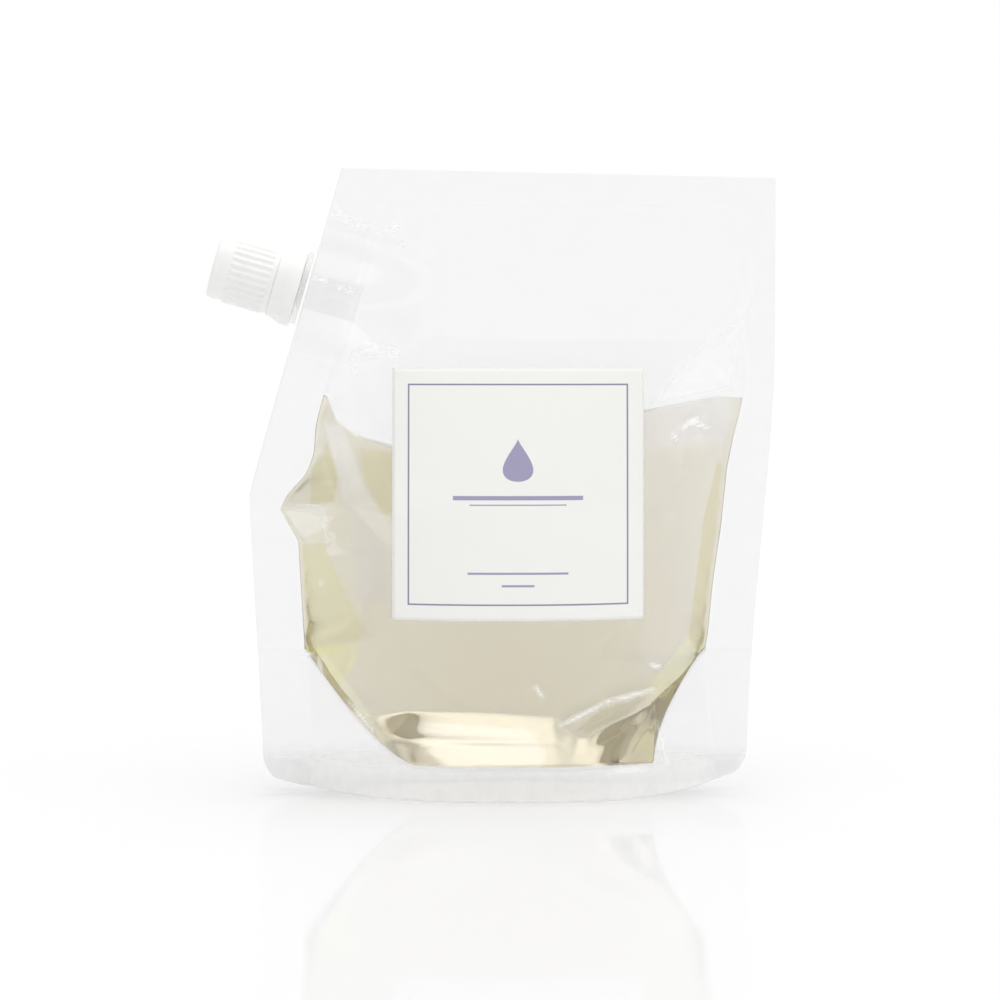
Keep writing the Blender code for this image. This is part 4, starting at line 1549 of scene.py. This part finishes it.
@dataclass
class Turning:
    """A piece turned about the spout's axis, with ribs or threads pressed into its wall.

    Attributes:
        form: The pouch, which holds the spout's place.
        corners: The profile, in order.
        closed: Whether the profile's end joins its start.
        steps: Faces round the axis.
        spacing: The longest face along the profile, in metres.
        relief: Adds to the radius, from the angle, the height and the radius.
    """

    form: PouchForm
    corners: Sequence[Corner]
    closed: bool = True
    steps: int = 128
    spacing: float = 0.5 * MM
    relief: Callable[[Array, Array, Array], Array] | None = None

    def path(self) -> Array:
        """The profile with its corners rounded and its long runs cut up, as rows of radius and height.

        Returns:
            The rows, in metres.
        """
        count = len(self.corners)
        rounded: list[Array] = []
        for index, corner in enumerate(self.corners):
            here = corner.point()
            last = index in (0, count - 1) and not self.closed
            if last or corner.round == 0.0:
                rounded.append(here)
                continue
            before = self.corners[index - 1].point() - here
            after = self.corners[(index + 1) % count].point() - here
            start = here + before / np.linalg.norm(before) * corner.round * MM
            end = here + after / np.linalg.norm(after) * corner.round * MM
            for share in (0.0, 0.2, 0.4, 0.6, 0.8, 1.0):
                first = start + (here - start) * share
                second = here + (end - here) * share
                rounded.append(first + (second - first) * share)
        if self.closed:
            rounded.append(rounded[0])
        points = [rounded[0]]
        for start, end in zip(rounded, rounded[1:]):
            pieces = max(1, math.ceil(float(np.linalg.norm(end - start)) / self.spacing))
            points.extend(start + (end - start) * (piece + 1) / pieces for piece in range(pieces))
        return np.array(points)

    def build(self, name: str) -> bpy.types.Object:
        """Makes the piece in its place on the spout.

        Args:
            name: The object's name.

        Returns:
            The piece.
        """
        path = self.path()
        rows = len(path) - 1

        def place(u: Array, v: Array) -> Array:
            """Points of the turned wall.

            Args:
                u: Shares round the axis, from 0 to 1.
                v: Shares along the profile, from 0 to 1.

            Returns:
                Rows of X, Y and Z.
            """
            index = np.round(v * rows).astype(int)
            radius, height = path[index, 0], path[index, 1]
            angle = u * math.tau
            if self.relief:
                radius = np.where(radius > 0.0, radius + self.relief(angle, height, radius), radius)
            return np.column_stack((radius * np.cos(angle), radius * np.sin(angle), height))

        piece = shaped_grid(name, self.steps, rows, place)
        merge_and_face_out(2e-6)
        piece.data.transform(spout_matrix(self.form))
        bpy.ops.object.shade_smooth_by_angle(angle=math.radians(38.0))
        return piece


def spout_matrix(form: PouchForm) -> Matrix:
    """The turn and move that set an upright piece on the spout's axis.

    Args:
        form: The pouch, which holds the spout's place.

    Returns:
        The matrix.
    """
    sideways = form.spout_out.cross(form.spout_along)
    turn = Matrix((form.spout_along, sideways, form.spout_out)).transposed().to_4x4()
    return Matrix.Translation(form.spout_origin) @ turn


def thread_wave(angle: Array, height: Array, start: float, turns: float, width: float) -> Array:
    """The height of a helical ridge, from 0 to 1, with run-outs at its ends.

    Args:
        angle: The places' angles round the axis.
        height: Their heights.
        start: Height of the ridge's start.
        turns: How often it goes round.
        width: Its width at the root.

    Returns:
        The ridge's height at the places.
    """
    flank, run_out = 0.28, 0.06
    crest = np.zeros_like(angle)
    for turn in range(math.ceil(turns)):
        along = angle / math.tau + turn
        away = np.abs(height - start - THREAD_PITCH * along)
        ridge = smoothstep((width / 2 - away) / (width * flank))
        ends = smoothstep(along / run_out) * smoothstep((turns - along) / run_out)
        crest = np.maximum(crest, ridge * ends)
    return crest


@dataclass
class ScrewCap:
    """The screw cap: a shell with a domed edge, grip ribs outside and a thread inside."""

    form: PouchForm
    ribs: int = 32
    rib_height: float = 0.32 * MM
    rib_start: float = 9.7 * MM
    rib_end: float = 20.6 * MM
    rib_fade: float = 0.5 * MM
    rib_radius: float = 8.6 * MM
    thread_start: float = 12.1 * MM
    thread_turns: float = 1.5
    thread_width: float = 1.7 * MM
    thread_height: float = 0.8 * MM
    bore_least: float = 7.5 * MM
    bore_most: float = 8.0 * MM

    def relief(self, angle: Array, height: Array, radius: Array) -> Array:
        """Grip ribs on the outer wall and the thread on the inner one.

        Args:
            angle: The places' angles round the axis.
            height: Their heights.
            radius: Their distances from the axis.

        Returns:
            What they add to the radius.
        """
        wave = np.cos(angle * self.ribs)
        rib = smoothstep((wave + 0.35) / 0.7)
        begun = smoothstep((height - self.rib_start) / self.rib_fade)
        run = begun * smoothstep((self.rib_end - height) / self.rib_fade)
        outer = self.rib_height * rib * run * (radius > self.rib_radius)
        turn = thread_wave(angle, height, self.thread_start, self.thread_turns, self.thread_width)
        return outer - self.thread_height * turn * (radius < self.bore_most) * (radius > self.bore_least)

    def build(self, material: bpy.types.Material) -> bpy.types.Object:
        """Makes the cap.

        Args:
            material: Its finish.

        Returns:
            The cap.
        """
        corners = (
            Corner(0.0, 25.0),
            Corner(6.4, 25.0, 0.3),
            Corner(6.9, 24.85, 0.3),
            Corner(8.9, 24.75, 0.9),
            Corner(8.95, 8.54, 0.05),
            Corner(7.9, 8.54, 0.15),
            Corner(7.9, 23.7, 0.3),
            Corner(0.0, 23.7),
        )
        shell = Turning(self.form, corners, False, self.ribs * 8, 0.3 * MM, self.relief)
        return finish_piece(shell.build("screw_cap"), material, Body.CAP, Slot.CAP, "cap")


@dataclass
class TamperBand:
    """The flared ring that stays on the neck when the cap is broken free."""

    form: PouchForm

    def build(self, material: bpy.types.Material) -> bpy.types.Object:
        """Makes the ring.

        Args:
            material: Its finish.

        Returns:
            The ring.
        """
        narrow, widening, top, length = 9.25, 1.25, 8.5, 4.6
        flare = [
            Corner(
                narrow + widening * float(smoothstep(np.array(share))),
                top - length * share,
                0.06 if share == 0.0 else 0.0,
            )
            for share in np.linspace(0.0, 1.0, 9)
        ]
        corners = (
            *flare,
            Corner(10.5, 2.12, 0.35),
            Corner(9.4, 2.12, 0.3),
            Corner(8.2, 2.85, 0.2),
            Corner(7.0, 4.05),
            Corner(7.0, 4.6),
            Corner(8.2, 4.6, 0.15),
            Corner(8.2, 8.5, 0.15),
        )
        ring = Turning(self.form, corners, True, 144, 0.45 * MM)
        return finish_piece(ring.build("tamper_ring"), material, Body.PACK, Slot.CAP, "tamper_band")


@dataclass
class SealingDisc:
    """The foamed disc that closes the neck's mouth inside the cap."""

    form: PouchForm

    def build(self, material: bpy.types.Material) -> bpy.types.Object:
        """Makes the disc.

        Args:
            material: Its finish.

        Returns:
            The disc.
        """
        corners = (Corner(0.0, 23.4), Corner(7.6, 23.4, 0.12), Corner(7.6, 22.7, 0.12), Corner(0.0, 22.7))
        disc = Turning(self.form, corners, False, 96, 0.8 * MM)
        return finish_piece(disc.build("sealing_disc"), material, Body.LINER, Slot.LINER, "cap_liner")


@dataclass
class SpoutFitting:
    """The spout: a welded boat between the films, a flange, and a neck with its bead and thread."""

    form: PouchForm
    bore: float = 4.8 * MM
    boat_depth: float = 14.0 * MM
    rim: float = 0.5 * MM
    weld_ribs: int = 4
    rib_height: float = 0.35 * MM
    wall_rows: int = 54
    rim_rows: int = 6
    bore_rows: int = 12
    thread_start: float = 10.6 * MM
    thread_turns: float = 2.5
    thread_width: float = 1.6 * MM
    thread_height: float = 0.7 * MM
    thread_root: float = 6.6 * MM

    @property
    def boat_rows(self) -> int:
        """Faces from the boat's foot up its wall, over its rim, down the bore and back out."""
        return self.wall_rows + 2 * self.rim_rows + self.bore_rows

    def neck_relief(self, angle: Array, height: Array, radius: Array) -> Array:
        """The thread on the neck's outer wall."""
        turn = thread_wave(angle, height, self.thread_start, self.thread_turns, self.thread_width)
        return self.thread_height * turn * (radius > self.thread_root)

    def boat_point(self, u: Array, v: Array) -> Array:
        """Points of the boat: up its outer wall, in over its rim, down the bore and out underneath.

        Args:
            u: Shares round it, from 0 to 1.
            v: Shares along that way, from 0 to 1.

        Returns:
            Rows of X, Y and Z.
        """
        angle = u * math.tau
        step = np.round(v * self.boat_rows)
        up = np.clip(step / self.wall_rows, 0.0, 1.0)
        inward = np.clip((step - self.wall_rows) / self.rim_rows, 0.0, 1.0)
        down = np.clip((step - self.wall_rows - self.rim_rows) / self.bore_rows, 0.0, 1.0)
        outward = np.clip((step - self.wall_rows - self.rim_rows - self.bore_rows) / self.rim_rows, 0.0, 1.0)
        length = self.form.boat_length / 2
        x = np.cos(angle) * length
        blunt = np.sqrt(np.clip(1.0 - (x / length) ** 8, 0.0, None))
        wave = np.cos(up * math.tau * self.weld_ribs + math.pi)
        rib = self.rib_height * smoothstep((wave + 0.3) / 0.6) * blunt
        half = (self.form.boat_half(x) * blunt + rib) * np.sign(np.round(np.sin(angle), 6))
        outer = np.column_stack((x, half, -self.boat_depth + (self.boat_depth + self.rim) * up))
        ring = np.column_stack((self.bore * np.cos(angle), self.bore * np.sin(angle), outer[:, 2]))
        share = (inward - outward)[:, None]
        points = outer + (ring - outer) * share
        points[:, 2] = outer[:, 2] - (self.boat_depth + self.rim) * down
        return points

    def build(self, material: bpy.types.Material, welded: bpy.types.Material) -> list[bpy.types.Object]:
        """Makes the neck with its flange, and the boat.

        Args:
            material: The neck's finish.
            welded: The boat's finish, clearer where the film has melted on to it.

        Returns:
            The two pieces.
        """
        corners = (
            Corner(4.8, 22.4, 0.25),
            Corner(6.7, 22.4, 0.4),
            Corner(6.7, 6.3, 0.2),
            Corner(7.7, 5.6, 0.2),
            Corner(7.7, 4.9, 0.15),
            Corner(6.7, 4.9, 0.15),
            Corner(6.7, 2.0, 0.3),
            Corner(9.5, 2.0, 0.3),
            Corner(9.5, 0.6, 0.3),
            Corner(4.8, 0.6),
        )
        neck = Turning(self.form, corners, True, 144, 0.2 * MM, self.neck_relief).build("spout_neck")
        finish_piece(neck, material, Body.PACK, Slot.SPOUT, "spout")
        boat = shaped_grid("spout_boat", 96, self.boat_rows, self.boat_point)
        merge_and_face_out(2e-6)
        boat.data.transform(spout_matrix(self.form))
        bpy.ops.object.shade_smooth_by_angle(angle=math.radians(40.0))
        finish_piece(boat, welded, Body.PACK, Slot.SPOUT)
        return [neck, boat]


@dataclass
class Studio:
    """A white floor, a white surround with a soft light overhead, and a long-lens camera."""

    pixels: float = 1000.0
    scale: float = 0.26 * MM
    centre_x: float = -2.86 * MM
    centre_z: float = 76.7 * MM
    elevation: float = math.radians(6.0)
    distance: float = 1.6
    overhead: float = 0.68
    front_shade: float = 0.42
    left_shade: float = 0.5
    surround: float = 1.065
    floor_colour: str = "#E7E7E8"

    def build_camera(self) -> None:
        """Adds the camera at the photograph's angle."""
        data = bpy.data.cameras.new("camera")
        data.sensor_width = 36.0
        data.lens = 36.0 * self.distance / (self.pixels * self.scale)
        data.clip_start = 0.01
        data.clip_end = 50.0
        camera = bpy.data.objects.new("camera", data)
        bpy.context.scene.collection.objects.link(camera)
        back = Vector((0.0, -math.cos(self.elevation), math.sin(self.elevation)))
        target = Vector((self.centre_x, 0.0, self.centre_z))
        camera.location = target + back * self.distance
        camera.rotation_euler = (-back).to_track_quat("-Z", "Y").to_euler()
        bpy.context.scene.camera = camera

    def build_floor(self) -> bpy.types.Object:
        """Adds the floor.

        Returns:
            The floor.
        """
        material, tree, output = new_material("white_studio_acrylic")
        colour = hex_colour(self.floor_colour)
        matt = add_node(tree, "ShaderNodeBsdfDiffuse", None, {"Color": colour}).outputs[0]
        gloss = add_node(
            tree, "ShaderNodeBsdfGlossy", None, {"Color": WHITE, "Roughness": 0.05}
        ).outputs[0]
        sheen = add_node(tree, "ShaderNodeMixShader", None, {0: 0.14, 1: matt, 2: gloss}).outputs[0]
        tree.links.new(sheen, output.inputs["Surface"])
        bpy.ops.object.select_all(action="DESELECT")
        bpy.ops.mesh.primitive_plane_add(size=60.0)
        floor = bpy.context.object
        floor.name = "studio_floor"
        floor.data.materials.append(material)
        return floor

    def build_world(self) -> None:
        """Makes the surround: white, brighter overhead and shaded in front above the camera."""
        world = bpy.data.worlds.new("white_studio")
        bpy.context.scene.world = world
        world.use_nodes = True
        tree = world.node_tree
        tree.nodes.clear()
        output = tree.nodes.new("ShaderNodeOutputWorld")
        ray = add_node(tree, "ShaderNodeTexCoord").outputs["Generated"]
        split = add_node(tree, "ShaderNodeSeparateXYZ", None, {0: ray})
        up = split.outputs[2]
        back = split.outputs[1]
        top = add_node(
            tree,
            "ShaderNodeMapRange",
            {"interpolation_type": "SMOOTHSTEP"},
            {"Value": up, "From Min": 0.62, "From Max": 0.85, "To Min": 0.0, "To Max": self.overhead},
        ).outputs["Result"]
        facing = add_node(
            tree,
            "ShaderNodeMapRange",
            {"interpolation_type": "SMOOTHSTEP"},
            {"Value": back, "From Min": -0.25, "From Max": -0.6, "To Min": 0.0, "To Max": self.front_shade},
        ).outputs["Result"]
        rising = add_node(
            tree,
            "ShaderNodeMapRange",
            {"interpolation_type": "SMOOTHSTEP"},
            {"Value": up, "From Min": 0.1, "From Max": 0.3, "To Min": 0.0, "To Max": 1.0},
        ).outputs["Result"]
        ending = add_node(
            tree,
            "ShaderNodeMapRange",
            {"interpolation_type": "SMOOTHSTEP"},
            {"Value": up, "From Min": 0.6, "From Max": 0.75, "To Min": 1.0, "To Max": 0.0},
        ).outputs["Result"]
        belt = add_node(tree, "ShaderNodeMath", {"operation": "MULTIPLY"}, {0: rising, 1: ending}).outputs[0]
        shade = add_node(tree, "ShaderNodeMath", {"operation": "MULTIPLY"}, {0: belt, 1: facing}).outputs[0]
        left = add_node(
            tree,
            "ShaderNodeMapRange",
            {"interpolation_type": "SMOOTHSTEP"},
            {
                "Value": split.outputs[0],
                "From Min": -0.4,
                "From Max": -0.85,
                "To Min": 1.0,
                "To Max": self.left_shade,
            },
        ).outputs["Result"]
        open_sky = add_node(
            tree, "ShaderNodeMath", {"operation": "SUBTRACT"}, {0: self.surround, 1: shade}
        ).outputs[0]
        plain = add_node(
            tree, "ShaderNodeMath", {"operation": "MULTIPLY"}, {0: open_sky, 1: left}
        ).outputs[0]
        lit = add_node(tree, "ShaderNodeMath", {"operation": "ADD"}, {0: plain, 1: top}).outputs[0]
        seen = add_node(tree, "ShaderNodeLightPath").outputs["Is Camera Ray"]
        around = add_node(tree, "ShaderNodeBackground", None, {"Strength": lit}).outputs[0]
        white = add_node(tree, "ShaderNodeBackground", None, {"Strength": 1.0}).outputs[0]
        for node in tree.nodes:
            if node.bl_idname == "ShaderNodeBackground":
                node.inputs["Color"].default_value = WHITE
        surround = add_node(tree, "ShaderNodeMixShader", None, {0: seen, 1: around, 2: white}).outputs[0]
        tree.links.new(surround, output.inputs["Surface"])

    def build(self) -> None:
        """Builds the whole studio."""
        self.build_camera()
        self.build_floor()
        self.build_world()
        bpy.context.scene.view_settings.view_transform = "Standard"


def main() -> None:
    """Builds the dressed pack and its studio."""
    logging.basicConfig(level=logging.INFO, format="%(message)s")
    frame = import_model()
    bpy.ops.object.select_all(action="DESELECT")
    turn = next(joint for joint in frame["joints"] if joint["name"] == "cap_turn")
    out = Vector(turn["axis"]).normalized()
    along = Vector((out.z, 0.0, -out.x))
    form = PouchForm(Vector(turn["pos_m"]), out, along)
    film = LaminateFilm().build()
    FilmPanel(form, Side.FRONT).build(film)
    FilmPanel(form, Side.BACK).build(film)
    GussetFilm(form).build(film)
    SoapFill(form).build(LiquidSoap().build())
    PaperLabel(form).build(CoatedPaper().build())
    cap_plastic = MouldedPolyethylene("moulded_white_polyethylene", "#F6F6F4", "#F1F1EE").build()
    ScrewCap(form).build(cap_plastic)
    TamperBand(form).build(cap_plastic)
    welded = NaturalPolyethylene("welded_natural_polyethylene", "#FDFDFC", 0.015)
    SpoutFitting(form).build(NaturalPolyethylene().build(), welded.build())
    foam = MouldedPolyethylene("foamed_polyethylene", "#F4F4F1", "#EDEDE9", 0.6, 0.3 * MM, 0.3)
    SealingDisc(form).build(foam.build())
    Studio().build()


if __name__ == "__main__":
    main()
